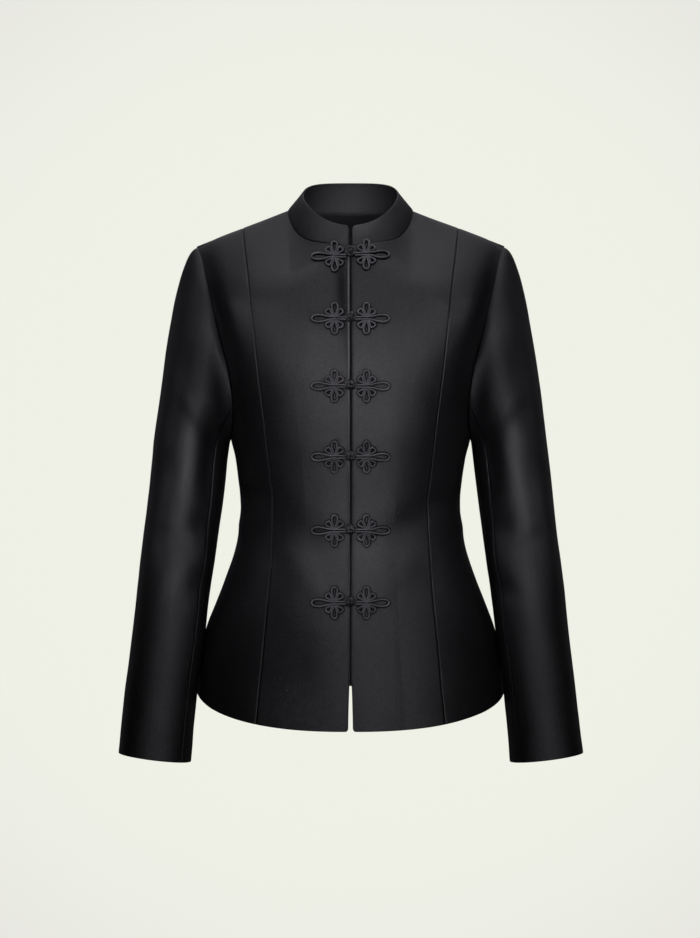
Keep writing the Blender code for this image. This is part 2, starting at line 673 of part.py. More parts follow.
def cloth_wall(name, outer, inner, finish, collection):
    """One closed piece of cloth between an outer and an inner grid of points."""
    rows, columns = outer.shape[:2]
    bm = bmesh.new()
    skins = [[[bm.verts.new(p) for p in row] for row in grid] for grid in (outer, inner)]
    for skin, turn in zip(skins, (1, -1)):
        for triangle in grid_triangles(outer):
            bm.faces.new([skin[i][j] for i, j in triangle][::turn])
    loop = [(i, 0) for i in range(rows)] + [(rows - 1, j) for j in range(1, columns)]
    loop += [(i, columns - 1) for i in range(rows - 2, -1, -1)]
    loop += [(0, j) for j in range(columns - 2, 0, -1)]
    for (i, j), (m, n) in zip(loop, loop[1:] + loop[:1]):
        bm.faces.new((skins[0][m][n], skins[0][i][j], skins[1][i][j], skins[1][m][n]))
    bmesh.ops.recalc_face_normals(bm, faces=bm.faces)
    return finished(name, bm, finish, collection)


def finished(name, bm, finish, collection):
    """Turns a bmesh into a named object with its material."""
    mesh = bpy.data.meshes.new(name)
    bm.to_mesh(mesh)
    bm.free()
    piece = bpy.data.objects.new(name, mesh)
    collection.objects.link(piece)
    piece.data.materials.append(material(name, finish))
    piece.data.shade_smooth()
    piece.data.set_sharp_from_angle(angle=SHARP_FROM)
    return piece


def material(name, finish):
    made = bpy.data.materials.new(name)
    made.use_nodes = True
    shader = made.node_tree.nodes["Principled BSDF"]
    shader.inputs["Base Color"].default_value = finish.colour
    shader.inputs["Roughness"].default_value = finish.roughness
    shader.inputs["Metallic"].default_value = finish.metallic
    return made


# ---------------------------------------------------------------- the jacket's cloth

SIDE_NAMES = {1: "left", -1: "right"}


def body_grids():
    """Outer points of the eight body panels, by node name."""
    grids = {}
    for face, label in ((-1, "front"), (1, "back")):
        centre, flank = centre_panel(face), side_panel(face)
        for side, side_name in SIDE_NAMES.items():
            grids[f"{label}_centre_{side_name}"] = placed(face, side, centre)
            grids[f"{label}_side_{side_name}"] = placed(face, side, flank)
    return grids


def add_folds(grids, normals):
    for name, points in grids.items():
        folds = BODY_FOLDS if name.startswith("front") else BACK_FOLDS
        for i in range(points.shape[0]):
            for j in range(points.shape[1]):
                x, _, z = points[i, j]
                points[i, j] += normals[name][i, j] * fold_lift(folds, x, z)


def build_cloth(collection):
    """Body panels and sleeves. Returns the body's outer points and normals."""
    grids = body_grids()
    normals = {name: grid_normals(points, (0.0, 0.0, points[points.shape[0] // 2, 0, 2]))
               for name, points in grids.items()}
    shared_normals(grids, normals)
    add_folds(grids, normals)
    sleeves, sleeve_normals = {}, {}
    front_seam, back_seam = sleeve_columns()
    for side, side_name in SIDE_NAMES.items():
        front_arm = grids[f"front_side_{side_name}"][:ARM_ROWS + 1, -1]
        back_arm = grids[f"back_side_{side_name}"][:ARM_ROWS + 1, -1]
        rings = sleeve_points(side, front_arm, back_arm)
        around = rings.shape[1]
        closed = np.concatenate((rings[:, -1:], rings, rings[:, :1]), axis=1)
        heart = rings.mean(axis=1)[rings.shape[0] // 2]
        whole = grid_normals(closed, heart)[:, 1:-1]
        panels = (f"front_side_{side_name}", f"back_side_{side_name}")
        for j in range(around):
            root = rings[0, j] - np.array((side * SLEEVE_SHIFT, 0.0, 0.0))
            met = [(panel, i) for panel in panels for i in range(ARM_ROWS + 1)
                   if np.linalg.norm(grids[panel][i, -1] - root) < 1e-5]
            body_normal = normals[met[0][0]][met[0][1], -1]
            if np.dot(body_normal, whole[0, j]) > 0.1:
                whole[0, j] = unit(body_normal + whole[0, j])
                for panel, i in met:
                    normals[panel][i, -1] = whole[0, j]
        top = list(range(back_seam, around)) + list(range(0, front_seam + 1))
        under = list(range(front_seam, back_seam + 1))
        for label, picks in (("sleeve_top", top), ("sleeve_under", under)):
            sleeves[f"{label}_{side_name}"] = rings[:, picks]
            sleeve_normals[f"{label}_{side_name}"] = whole[:, picks]
    for name, points in {**grids, **sleeves}.items():
        sleeve = name.startswith("sleeve")
        outward = sleeve_normals[name] if sleeve else normals[name]
        edges = ["left", "right"]
        if not sleeve:
            edges = ["top", "right"] if "centre" in name else ["top", "left", "right"]
        outer = pulled_back(points, outward, edges)
        inner = outer - outward * CLOTH_WALL
        cloth_wall(name, outer, inner, SATIN, collection)
    return grids, normals


def build_collar(collection):
    points = collar_points()
    normals = grid_normals(points, (0.0, 0.0, 0.0))
    normals[:, :, 2] *= COLLAR_FACING_Z
    normals /= np.linalg.norm(normals, axis=2, keepdims=True)
    cloth_wall("collar", points, points - normals * COLLAR_WALL, SATIN, collection)


def build_facing(grids, normals, collection):
    """The facing inside the back of the neck, on the inner side of the back panels."""
    rows, columns = FACING_ROWS + 1, NECK_COLUMNS + 1
    halves = []
    for side_name in SIDE_NAMES.values():
        name = f"back_centre_{side_name}"
        depth = CLOTH_WALL + SEAM_GAP * 1.5
        points = grids[name][:rows, :columns] - normals[name][:rows, :columns] * depth
        halves.append((points, normals[name][:rows, :columns]))
    (left, left_normals), (right, right_normals) = halves
    points = np.concatenate((left[:, :0:-1], left[:, :1], right[:, 1:]), axis=1)
    outward = np.concatenate((left_normals[:, :0:-1], left_normals[:, :1],
                              right_normals[:, 1:]), axis=1)
    points[:, columns - 1, 0] = 0.0
    points = pulled_back(points, outward, ["top", "left", "right"])
    cloth_wall("back_neck_facing", points, points - outward * FACING_WALL,
               SATIN_INSIDE, collection)


# ---------------------------------------------------------------- frogs

class PanelSurface:
    """Finds points on a panel's faces from their place across and up the front."""

    def __init__(self, points, normals):
        cells = grid_triangles(points)
        self.corners = np.array([[points[k] for k in cell] for cell in cells])
        self.normals = np.array([[normals[k] for k in cell] for cell in cells])

    def place(self, across, height, lift):
        """A point on the cloth, moved out by lift."""
        flat = self.corners[:, :, (0, 2)]
        a, b, c = flat[:, 0], flat[:, 1], flat[:, 2]
        target = np.array((across, height))
        area = np.cross(b - a, c - a)
        first = np.cross(b - target, c - target) / area
        second = np.cross(c - target, a - target) / area
        third = 1.0 - first - second
        best = int(np.argmax(np.minimum(np.minimum(first, second), third)))
        weights = np.array((first[best], second[best], third[best]))
        return weights @ self.corners[best] + unit(weights @ self.normals[best]) * lift


def cord_loop(points):
    """A closed loop of cord along points, as a mesh object of its own."""
    curve = bpy.data.curves.new("cord", "CURVE")
    curve.dimensions = "3D"
    curve.bevel_depth = CORD_RADIUS
    curve.bevel_resolution = 0
    spline = curve.splines.new("POLY")
    spline.points.add(len(points) - 1)
    for target, point in zip(spline.points, points):
        target.co = (*point, 1.0)
    spline.use_cyclic_u = True
    guide = bpy.data.objects.new("cord", curve)
    bpy.context.scene.collection.objects.link(guide)
    depsgraph = bpy.context.evaluated_depsgraph_get()
    mesh = bpy.data.meshes.new_from_object(guide.evaluated_get(depsgraph))
    bpy.data.objects.remove(guide, do_unlink=True)
    bm = bmesh.new()
    bm.from_mesh(mesh)
    bmesh.ops.remove_doubles(bm, verts=bm.verts, dist=0.00005)
    bmesh.ops.recalc_face_normals(bm, faces=bm.faces)
    bm.to_mesh(mesh)
    bm.free()
    piece = bpy.data.objects.new("cord", mesh)
    bpy.context.scene.collection.objects.link(piece)
    return piece


def ball(centre, radius, segments, rings):
    bm = bmesh.new()
    bmesh.ops.create_uvsphere(bm, u_segments=segments, v_segments=rings, radius=radius)
    bmesh.ops.translate(bm, verts=bm.verts, vec=tuple(centre))
    mesh = bpy.data.meshes.new("ball")
    bm.to_mesh(mesh)
    bm.free()
    piece = bpy.data.objects.new("ball", mesh)
    bpy.context.scene.collection.objects.link(piece)
    return piece


def joined(name, first, second, collection):
    """Unites two overlapping pieces into one solid."""
    union = first.modifiers.new("union", "BOOLEAN")
    union.operation = "UNION"
    union.object = second
    depsgraph = bpy.context.evaluated_depsgraph_get()
    mesh = bpy.data.meshes.new_from_object(first.evaluated_get(depsgraph))
    for piece in (first, second):
        bpy.data.objects.remove(piece, do_unlink=True)
    bm = bmesh.new()
    bm.from_mesh(mesh)
    bmesh.ops.remove_doubles(bm, verts=bm.verts, dist=0.00002)
    return finished(name, bm, CORD_SATIN, collection)


def loop_reach(petal, turned):
    """How far a loop's outer edge lies from the flower's centre, off its own axis."""
    full_width = 2 * petal.half_width / TEARDROP_FULLNESS
    cosine = math.tan(abs(turned)) * petal.length / full_width
    if cosine >= 1.0:
        return 0.0
    along = petal.length * (1 - math.cos(2 * math.acos(cosine))) / 2
    return along / math.cos(turned)


def flower_outline():
    """The flower's outer edge round its centre, as (outward, up) places, with the arms
    towards the knot."""
    arm_end = FLOWER_REACH - KNOT_LOOP_RADIUS - CORD_RADIUS - 2 * SEAM_GAP
    places = []
    for petal in PETALS:
        if petal.turn == 225:
            places += [(-arm_end, ARM_HALF_WIDTH), (-arm_end, -ARM_HALF_WIDTH)]
        for step in LOOP_STEPS + ((22.5,) if petal.turn == 135 else ()):
            around = math.radians(petal.turn + step)
            reach = 0.0
            for other in PETALS:
                turned = math.remainder(around - math.radians(other.turn), 2 * math.pi)
                if abs(turned) < math.pi / 3:
                    reach = max(reach, loop_reach(other, turned))
            places.append((reach * math.cos(around), reach * math.sin(around)))
    return places


def hole_outline(petal):
    turn = math.radians(petal.turn)
    half = petal.hole_half_width / TEARDROP_FULLNESS
    places = []
    for degrees in HOLE_STEPS:
        step = math.radians(degrees)
        along = petal.hole_length * (1 - math.cos(step)) / 2
        off = half * math.sin(step) * math.sin(step / 2)
        places.append((along * math.cos(turn) - off * math.sin(turn),
                       along * math.sin(turn) + off * math.cos(turn)))
    return places


def flower_mesh():
    """The flower flat on its back, as thick as its cord."""
    curve = bpy.data.curves.new("flower", "CURVE")
    curve.dimensions = "2D"
    curve.fill_mode = "BOTH"
    curve.extrude = CORD_RADIUS
    outlines = [flower_outline()]
    outlines += [hole_outline(petal) for petal in PETALS if petal.hole_length]
    for outline in outlines:
        spline = curve.splines.new("POLY")
        spline.points.add(len(outline) - 1)
        for target, (x, y) in zip(spline.points, outline):
            target.co = (x, y, 0.0, 1.0)
        spline.use_cyclic_u = True
    guide = bpy.data.objects.new("flower", curve)
    bpy.context.scene.collection.objects.link(guide)
    depsgraph = bpy.context.evaluated_depsgraph_get()
    mesh = bpy.data.meshes.new_from_object(guide.evaluated_get(depsgraph))
    bpy.data.objects.remove(guide, do_unlink=True)
    return mesh


def build_flower(name, flat, surface, side, frog, collection):
    """One flower of cord loops laid on the front, with its arms towards the knot."""
    bm = bmesh.new()
    bm.from_mesh(flat)
    bmesh.ops.remove_doubles(bm, verts=bm.verts, dist=0.00005)
    for direction, places in FLOWER_BENDS:
        for place in places:
            everything = bm.verts[:] + bm.edges[:] + bm.faces[:]
            middle = tuple(place * part for part in direction)
            bmesh.ops.bisect_plane(bm, geom=everything, plane_co=middle, plane_no=direction)
    bmesh.ops.triangulate(bm, faces=bm.faces)
    drop = frog.left_drop if side > 0 else frog.right_drop
    for vert in bm.verts:
        outward, up, lift = vert.co
        height = frog.height - drop + up
        vert.co = surface.place(side * (FLOWER_REACH + outward), height,
                                CORD_LIFT + frog.extra_lift + lift)
    if side < 0:
        bmesh.ops.reverse_faces(bm, faces=bm.faces)
    finished(name, bm, CORD_SATIN, collection)


def build_knot(name, surface, height, collection):
    """A knot button at the front edges, with the loop that holds it."""
    edge = FRONT_EDGE * 1.2

    def place(lift, turn=None):
        base = surface.place(edge, height, 0.0)
        out = unit((surface.place(edge, height, 0.01) - base) * np.array((0.0, 1.0, 1.0)))
        base[0] = 0.0
        point = base + out * lift
        if turn is not None:
            up = np.cross(out, np.array((1.0, 0.0, 0.0)))
            ring = np.array((1.0, 0.0, 0.0)) * math.cos(turn) + up * math.sin(turn)
            point = point + ring * KNOT_LOOP_RADIUS
        return point

    turns = [2 * math.pi * i / KNOT_LOOP_POINTS for i in range(KNOT_LOOP_POINTS)]
    loop = cord_loop([place(KNOT_LOOP_LIFT, turn) for turn in turns])
    joined(name, ball(place(KNOT_LIFT), KNOT_RADIUS, 10, 7), loop, collection)


def build_frogs(grids, normals, collection):
    surfaces = {}
    for side, side_name in SIDE_NAMES.items():
        name = f"front_centre_{side_name}"
        surfaces[side] = PanelSurface(grids[name], normals[name])
    flat = flower_mesh()
    for number, frog in enumerate(FROGS, 1):
        for side, side_name in SIDE_NAMES.items():
            name = f"frog_{number}_{side_name}"
            build_flower(name, flat, surfaces[side], side, frog, collection)
        build_knot(f"knot_{number}", surfaces[1], frog.height, collection)


def main():
    for old in list(bpy.data.objects):
        bpy.data.objects.remove(old, do_unlink=True)
    jacket = bpy.data.collections.new("tang_jacket")
    bpy.context.scene.collection.children.link(jacket)
    grids, normals = build_cloth(jacket)
    build_collar(jacket)
    build_facing(grids, normals, jacket)
    build_frogs(grids, normals, jacket)


main()
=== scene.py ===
import math
from collections import namedtuple

import bmesh
import bpy
import numpy as np
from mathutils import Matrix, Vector, noise as smooth_noise
from mathutils.bvhtree import BVHTree


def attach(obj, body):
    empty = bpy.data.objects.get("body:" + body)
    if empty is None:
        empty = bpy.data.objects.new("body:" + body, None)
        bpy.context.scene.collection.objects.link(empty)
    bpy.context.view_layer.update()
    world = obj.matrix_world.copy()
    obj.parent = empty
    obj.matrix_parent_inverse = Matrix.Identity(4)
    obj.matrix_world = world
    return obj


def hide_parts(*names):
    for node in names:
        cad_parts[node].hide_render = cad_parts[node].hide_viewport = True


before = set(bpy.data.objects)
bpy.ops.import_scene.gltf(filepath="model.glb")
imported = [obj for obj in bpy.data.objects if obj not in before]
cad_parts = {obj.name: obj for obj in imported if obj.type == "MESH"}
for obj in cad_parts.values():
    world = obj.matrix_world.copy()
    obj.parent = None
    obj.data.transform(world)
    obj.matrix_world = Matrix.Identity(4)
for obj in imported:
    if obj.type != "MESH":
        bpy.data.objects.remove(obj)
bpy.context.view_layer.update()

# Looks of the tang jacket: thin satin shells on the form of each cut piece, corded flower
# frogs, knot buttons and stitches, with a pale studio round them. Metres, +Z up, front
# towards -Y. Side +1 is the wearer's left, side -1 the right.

SIDE_NAMES = {1: "left", -1: "right"}

# ---------------------------------------------------------------- sizes of the jacket

CLOTH_WALL = 0.0015
COLLAR_WALL = 0.0020
FACING_WALL = 0.0010
SEAM_GAP = 0.0003

NECK_HALF_WIDTH = 0.0750
NECK_POINT_HEIGHT = -0.0015
SHOULDER_HALF_WIDTH = 0.1850
SHOULDER_SLOPE = math.tan(math.radians(21.4))
INNER_RIDGE_CLIMB = 0.0350
SHOULDER_ROUND = 0.1050
RIDGE_RADIUS_NECK, RIDGE_RADIUS_ARM = 0.0140, 0.0220
NECK_CENTRE_Y = 0.0020
NECK_FRONT = 0.0760
NECK_BACK = 0.0480

RISE_UNIT = 0.0500
RISE_SLOPE = 0.0160
RISE_CURVE = 0.0060
RISE_MOST_FRONT, RISE_MOST_BACK = -1.6, 1.2
RISE_NEAR, RISE_FAR = 0.0400, 0.1500
RISE_TOP, RISE_BOTTOM = -0.0400, -0.1400
BACK_RISE_SLOPE = 0.0015
BACK_RISE_CURVE = 0.0025
BACK_RISE_SIDES = 0.0115         # extra height of the back's neckline beside its middle

COLLAR_END_GAP = 0.0022
COLLAR_BOW = 0.0012
COLLAR_CORNER_RADIUS = 0.0055
COLLAR_TUCK = 0.0008             # how far the collar's foot runs into the neck seam
RIM_HALF_WIDTH = 0.0570
RIM_FRONT = 0.0590
RIM_BACK = 0.0440
RIM_CENTRE_Y = -0.0010
RIM_MEAN_HEIGHT, RIM_TILT, RIM_SADDLE = 0.0118, 0.0305, 0.0062

FRONT_EDGE = 0.0006
SLIT_TOP, SLIT_BOTTOM, SLIT_HALF_WIDTH = -0.5250, -0.6150, 0.0026
BACK_EDGE = 0.0
ARMPIT_HEIGHT = -0.2750
SIDE_HEM = -0.5720
PRINCESS_HEM = -0.6050
FRONT_HEM_DIP = 0.35
BACK_HEM_DIP = 0.09
FRONT_CORNER_RADIUS = 0.0050

SLEEVE_LEAN = math.radians(7.2)
FRONT_SLEEVE_SEAM, BACK_SLEEVE_SEAM = 140.0, 240.0
SLEEVE_TUCK = 0.0004
FREE_LENGTH = 0.0300             # the sleeve's cloth is held by the armhole's seam up to here
SLEEVE_TURN_IN = 0.0026          # how far the sleeve's edge runs into the armhole seam

Level = namedtuple("Level", "height half_width front_depth back_depth front_square back_square")
TORSO_LEVELS = (
    Level(0.090, 0.206, 0.056, 0.052, 2.4, 2.6),
    Level(0.000, 0.206, 0.068, 0.059, 2.4, 2.6),
    Level(-0.040, 0.205, 0.078, 0.070, 2.4, 2.6),
    Level(-0.100, 0.198, 0.099, 0.089, 2.5, 2.7),
    Level(-0.150, 0.184, 0.112, 0.096, 2.6, 2.7),
    Level(-0.200, 0.161, 0.1205, 0.099, 2.7, 2.6),
    Level(-0.250, 0.1468, 0.1200, 0.094, 2.6, 2.5),
    Level(-0.275, 0.1440, 0.1178, 0.0890, 2.5, 2.45),
    Level(-0.300, 0.1378, 0.1146, 0.083, 2.4, 2.4),
    Level(-0.355, 0.1318, 0.1068, 0.074, 2.3, 2.3),
    Level(-0.400, 0.1366, 0.1030, 0.081, 2.3, 2.3),
    Level(-0.445, 0.1512, 0.1062, 0.097, 2.3, 2.3),
    Level(-0.500, 0.1720, 0.1136, 0.112, 2.3, 2.3),
    Level(-0.550, 0.1822, 0.1194, 0.119, 2.3, 2.3),
    Level(-0.620, 0.1890, 0.1250, 0.123, 2.3, 2.3),
)

SeamPoint = namedtuple("SeamPoint", "height across")
SEAM_TOP = -0.023                # where the princess seams reach the shoulder seam
FRONT_PRINCESS = (
    SeamPoint(SEAM_TOP, 0.1290), SeamPoint(-0.113, 0.1170), SeamPoint(-0.205, 0.1070),
    SeamPoint(-0.280, 0.0980), SeamPoint(-0.355, 0.0910), SeamPoint(-0.416, 0.0925),
    SeamPoint(-0.501, 0.0996), SeamPoint(-0.610, 0.1100),
)
BACK_PRINCESS = (
    SeamPoint(SEAM_TOP, 0.1290), SeamPoint(-0.113, 0.1120), SeamPoint(-0.205, 0.0960),
    SeamPoint(-0.280, 0.0850), SeamPoint(-0.355, 0.0770), SeamPoint(-0.416, 0.0800),
    SeamPoint(-0.501, 0.0900), SeamPoint(-0.600, 0.1030),
)
FRONT_ARMHOLE = (
    SeamPoint(-0.0446, 0.1850), SeamPoint(-0.060, 0.1795), SeamPoint(-0.084, 0.1750),
    SeamPoint(-0.119, 0.1680), SeamPoint(-0.149, 0.1612), SeamPoint(-0.176, 0.1535),
    SeamPoint(-0.200, 0.1462), SeamPoint(-0.226, 0.1412), SeamPoint(-0.250, 0.1402),
    SeamPoint(-0.264, 0.1414), SeamPoint(-0.2725, 0.1435),
)
BACK_ARMHOLE = (
    SeamPoint(-0.0446, 0.1850), SeamPoint(-0.060, 0.1812), SeamPoint(-0.084, 0.1775),
    SeamPoint(-0.119, 0.1725), SeamPoint(-0.149, 0.1678), SeamPoint(-0.176, 0.1600),
    SeamPoint(-0.200, 0.1522), SeamPoint(-0.226, 0.1458), SeamPoint(-0.250, 0.1430),
    SeamPoint(-0.264, 0.1426), SeamPoint(-0.2725, 0.1436),
)
ARMHOLE_SAMPLES = 240
SHOULDER_PULL = 10               # how fast a side panel's rows leave the shoulder seam's line

SleeveLevel = namedtuple("SleeveLevel", "height outer inner centre_y half_depth")
SLEEVE_LEVELS = (
    SleeveLevel(-0.285, 0.2360, 0.1462, 0.004, 0.0520),
    SleeveLevel(-0.316, 0.2396, 0.1496, 0.004, 0.0500),
    SleeveLevel(-0.347, 0.2428, 0.1534, 0.002, 0.0480),
    SleeveLevel(-0.402, 0.2487, 0.1603, -0.005, 0.0455),
    SleeveLevel(-0.445, 0.2533, 0.1665, -0.013, 0.0440),
    SleeveLevel(-0.503, 0.2589, 0.1732, -0.024, 0.0415),
    SleeveLevel(-0.556, 0.2641, 0.1796, -0.036, 0.0392),
    SleeveLevel(-0.608, 0.2698, 0.1850, -0.044, 0.0372),
    SleeveLevel(-0.652, 0.2742, 0.1884, -0.050, 0.0360),
)
CAP_OUT_TOP, CAP_OUT_UNDER = 0.0770, 0.0060
CAP_FALL_TOP, CAP_FALL_UNDER = 0.0000, 0.0200
CAP_SWELL = 0.0450
ARM_REACH_TOP, ARM_REACH_UNDER = 0.2000, 0.0350

# Soft folds. Each is a ridge (positive) or trough along a short line on the cloth.
Fold = namedtuple("Fold", "across height length width turn lift")
FRONT_FOLDS = (
    Fold(-0.056, -0.432, 0.044, 0.015, -54.0, 0.0015),
    Fold(-0.040, -0.398, 0.040, 0.017, -50.0, -0.0013),
    Fold(-0.040, -0.470, 0.036, 0.017, -40.0, -0.0010),
    Fold(0.069, -0.369, 0.032, 0.015, 34.0, -0.0017),
    Fold(0.075, -0.427, 0.046, 0.018, 55.0, 0.0011),
    Fold(0.055, -0.455, 0.040, 0.016, 58.0, -0.0010),
    Fold(-0.118, -0.345, 0.032, 0.009, 8.0, -0.0018),
    Fold(0.116, -0.350, 0.032, 0.009, -8.0, -0.0018),
    Fold(-0.120, -0.375, 0.030, 0.009, 14.0, 0.0014),
    Fold(0.120, -0.378, 0.030, 0.009, -14.0, 0.0014),
    Fold(-0.163, -0.125, 0.080, 0.015, -76.0, -0.0070),
    Fold(0.163, -0.125, 0.080, 0.015, 76.0, -0.0070),
    Fold(-0.0090, -0.112, 0.042, 0.0055, 90.0, -0.0036),
)
BACK_FOLDS = (
    Fold(-0.045, -0.345, 0.050, 0.012, 24.0, -0.0024),
    Fold(0.050, -0.340, 0.048, 0.012, -26.0, -0.0024),
    Fold(-0.040, -0.385, 0.045, 0.013, -18.0, 0.0022),
    Fold(0.044, -0.382, 0.045, 0.013, 20.0, 0.0022),
    Fold(-0.100, -0.160, 0.060, 0.015, 62.0, -0.0020),
    Fold(0.102, -0.165, 0.060, 0.015, -62.0, -0.0020),
)
Wave = namedtuple("Wave", "length lift")
WAVES = (Wave(0.060, 0.0011), Wave(0.024, 0.00022))
# Soft patches of painted shade, where the satin's gleam is taken away to paint the shade of
# creases and hollows. Their lift is the share of gleam lost, and they don't change the form. They
# are placed by across and height alone, so they also fall on the back, which doesn't need them.
PAINTED_SHADE_PATCHES = (
    Fold(-0.0105, -0.104, 0.045, 0.0058, 92.0, 0.80),
    Fold(0.0014, -0.300, 0.230, 0.0017, 90.0, 0.90),
    Fold(-0.156, -0.230, 0.062, 0.0125, -84.0, 0.90),
    Fold(0.156, -0.230, 0.062, 0.0125, 84.0, 0.90),
    Fold(-0.195, -0.241, 0.030, 0.008, -56.0, 0.55),
    Fold(0.194, -0.245, 0.028, 0.009, 52.0, 0.50),
    Fold(-0.2155, -0.383, 0.022, 0.009, -30.0, 0.38),
    Fold(0.2145, -0.388, 0.020, 0.009, 34.0, 0.38),
    Fold(-0.160, -0.105, 0.045, 0.013, -74.0, 0.85),
    Fold(0.160, -0.105, 0.045, 0.013, 74.0, 0.85),
    Fold(-0.193, -0.165, 0.055, 0.014, -80.0, 0.45),
    Fold(0.193, -0.165, 0.055, 0.014, 80.0, 0.45),
    Fold(-0.181, -0.385, 0.032, 0.013, -58.0, 0.55),
    Fold(0.181, -0.385, 0.032, 0.013, 58.0, 0.45),
    Fold(0.069, -0.369, 0.032, 0.014, 34.0, 0.50),
    Fold(0.072, -0.435, 0.032, 0.018, 52.0, 0.28),
    Fold(-0.062, -0.372, 0.040, 0.022, -50.0, 0.42),
    Fold(-0.064, -0.510, 0.100, 0.036, -68.0, 0.52),
)
# On a sleeve the place is an angle round it (0 outside, 90 front) and a height
SleeveFold = namedtuple("SleeveFold", "angle height spread width climb lift")
SLEEVE_FOLDS = (
    SleeveFold(130.0, -0.305, 24.0, 0.062, 0.000, -0.0070),
    SleeveFold(112.0, -0.382, 45.0, 0.020, 0.016, -0.0028),
    SleeveFold(95.0, -0.424, 55.0, 0.022, 0.014, 0.0014),
    SleeveFold(120.0, -0.456, 40.0, 0.015, 0.012, -0.0022),
    SleeveFold(70.0, -0.310, 40.0, 0.020, 0.045, -0.0014),
    SleeveFold(262.0, -0.340, 45.0, 0.018, -0.010, -0.0024),
    SleeveFold(265.0, -0.395, 45.0, 0.018, 0.010, -0.0026),
    SleeveFold(268.0, -0.480, 48.0, 0.022, 0.012, -0.0020),
    SleeveFold(70.0, -0.560, 50.0, 0.028, 0.030, -0.0010),
)

# Frogs
Frog = namedtuple("Frog", "height left_drop right_drop extra_lift")
FROGS = (
    Frog(-0.0586, 0.0030, 0.0052, 0.0004), Frog(-0.1360, 0.0018, 0.0018, 0.0),
    Frog(-0.2150, 0.0015, 0.0015, 0.0), Frog(-0.2966, 0.0015, 0.0015, 0.0),
    Frog(-0.3820, 0.0015, 0.0015, 0.0), Frog(-0.4657, 0.0015, 0.0015, 0.0),
)
FLOWER_REACH = 0.0185
CORD_RADIUS = 0.00116
KNOT_RADIUS = 0.0050
KNOT_LOOP_RADIUS = 0.0044

# How closely the cloth is divided, and how far its rows and columns lie from an edge
ARM_STEPS, LOWER_STEPS = 54, 66
NECK_STEPS, SHOULDER_STEPS, FLANK_STEPS = 30, 12, 20
SLEEVE_CAP_STEPS, SLEEVE_STEP_HEIGHT, SLEEVE_STEP_TURN = 42, 0.0050, 4.0
COLLAR_STEPS, COLLAR_ROWS = 40, 12
NEAR_SEAM = (0.0004, 0.0009, 0.0016, 0.0026, 0.0040, 0.0062)
NEAR_EDGE = (0.00008, 0.0002, 0.0004, 0.00075, 0.0012, 0.0018, 0.0028, 0.0045)
ARM_ROWS_LENGTH, LOWER_ROWS_LENGTH, FLANK_WIDTH = 0.2520, 0.3300, 0.0600
FACING_SHARE = 18                # rows of the back panels that the facing covers


# ---------------------------------------------------------------- small maths

def clamp(value, low=0.0, high=1.0):
    return max(low, min(high, value))


def smoothstep(value, start, end):
    t = clamp((value - start) / (end - start))
    return t * t * (3.0 - 2.0 * t)


def table_value(rows, column, height):
    """A column of a table at any height, by a cubic through its rows."""
    heights = [row.height for row in rows]
    values = [getattr(row, column) for row in rows]
    height = clamp(height, heights[-1], heights[0])
    last = len(rows) - 2
    i = next((k for k in range(last) if height >= heights[k + 1]), last)

    def slope(k):
        low, high = max(k - 1, 0), min(k + 1, len(rows) - 1)
        return (values[high] - values[low]) / (heights[high] - heights[low])

    span = heights[i + 1] - heights[i]
    t = (height - heights[i]) / span
    return (
        values[i] * (2 * t**3 - 3 * t**2 + 1)
        + slope(i) * span * (t**3 - 2 * t**2 + t)
        + values[i + 1] * (3 * t**2 - 2 * t**3)
        + slope(i + 1) * span * (t**3 - t**2)
    )


def unit(vector):
    length = float(np.linalg.norm(vector))
    return vector / length if length > 1e-12 else vector * 0.0


def lengths_along(points, axis):
    """Distance of each grid point from the first one of its row or column."""
    steps = np.linalg.norm(np.diff(points, axis=axis), axis=2)
    start = np.zeros((points.shape[0], 1)) if axis == 1 else np.zeros((1, points.shape[1]))
    return np.concatenate((start, np.cumsum(steps, axis=axis)), axis=axis)


# ---------------------------------------------------------------- torso surface

def ridge_height(across):
    """Height of the shoulder line above a distance from the centre."""
    inside = 1.0 - (across / NECK_HALF_WIDTH) ** 2
    if inside <= 0.0:
        return NECK_POINT_HEIGHT - SHOULDER_SLOPE * (across - NECK_HALF_WIDTH)
    return (NECK_POINT_HEIGHT + SHOULDER_SLOPE * NECK_HALF_WIDTH * inside / 2
            + INNER_RIDGE_CLIMB * inside * inside)


def ridge_y(across):
    return NECK_CENTRE_Y * clamp((SHOULDER_HALF_WIDTH - across) / SHOULDER_HALF_WIDTH)


def neck_rise(across, y, level):
    """How far the cloth near the neck stands above the plain shoulder."""
    t = clamp(y / RISE_UNIT, RISE_MOST_FRONT, RISE_MOST_BACK)
    near = 1.0 - smoothstep(across, RISE_NEAR, RISE_FAR)
    high = 1.0 - smoothstep(-level, -RISE_TOP, -RISE_BOTTOM)
    if y <= 0.0:
        return (RISE_SLOPE * t + RISE_CURVE * t * t) * near * high
    outwards = clamp(across / NECK_HALF_WIDTH) ** 2
    sides = BACK_RISE_SIDES * 4 * outwards * (1.0 - outwards)
    return ((BACK_RISE_SLOPE + sides) * t + BACK_RISE_CURVE * t * t) * near * high


def face_columns(face):
    return ("front_depth", "front_square") if face < 0 else ("back_depth", "back_square")


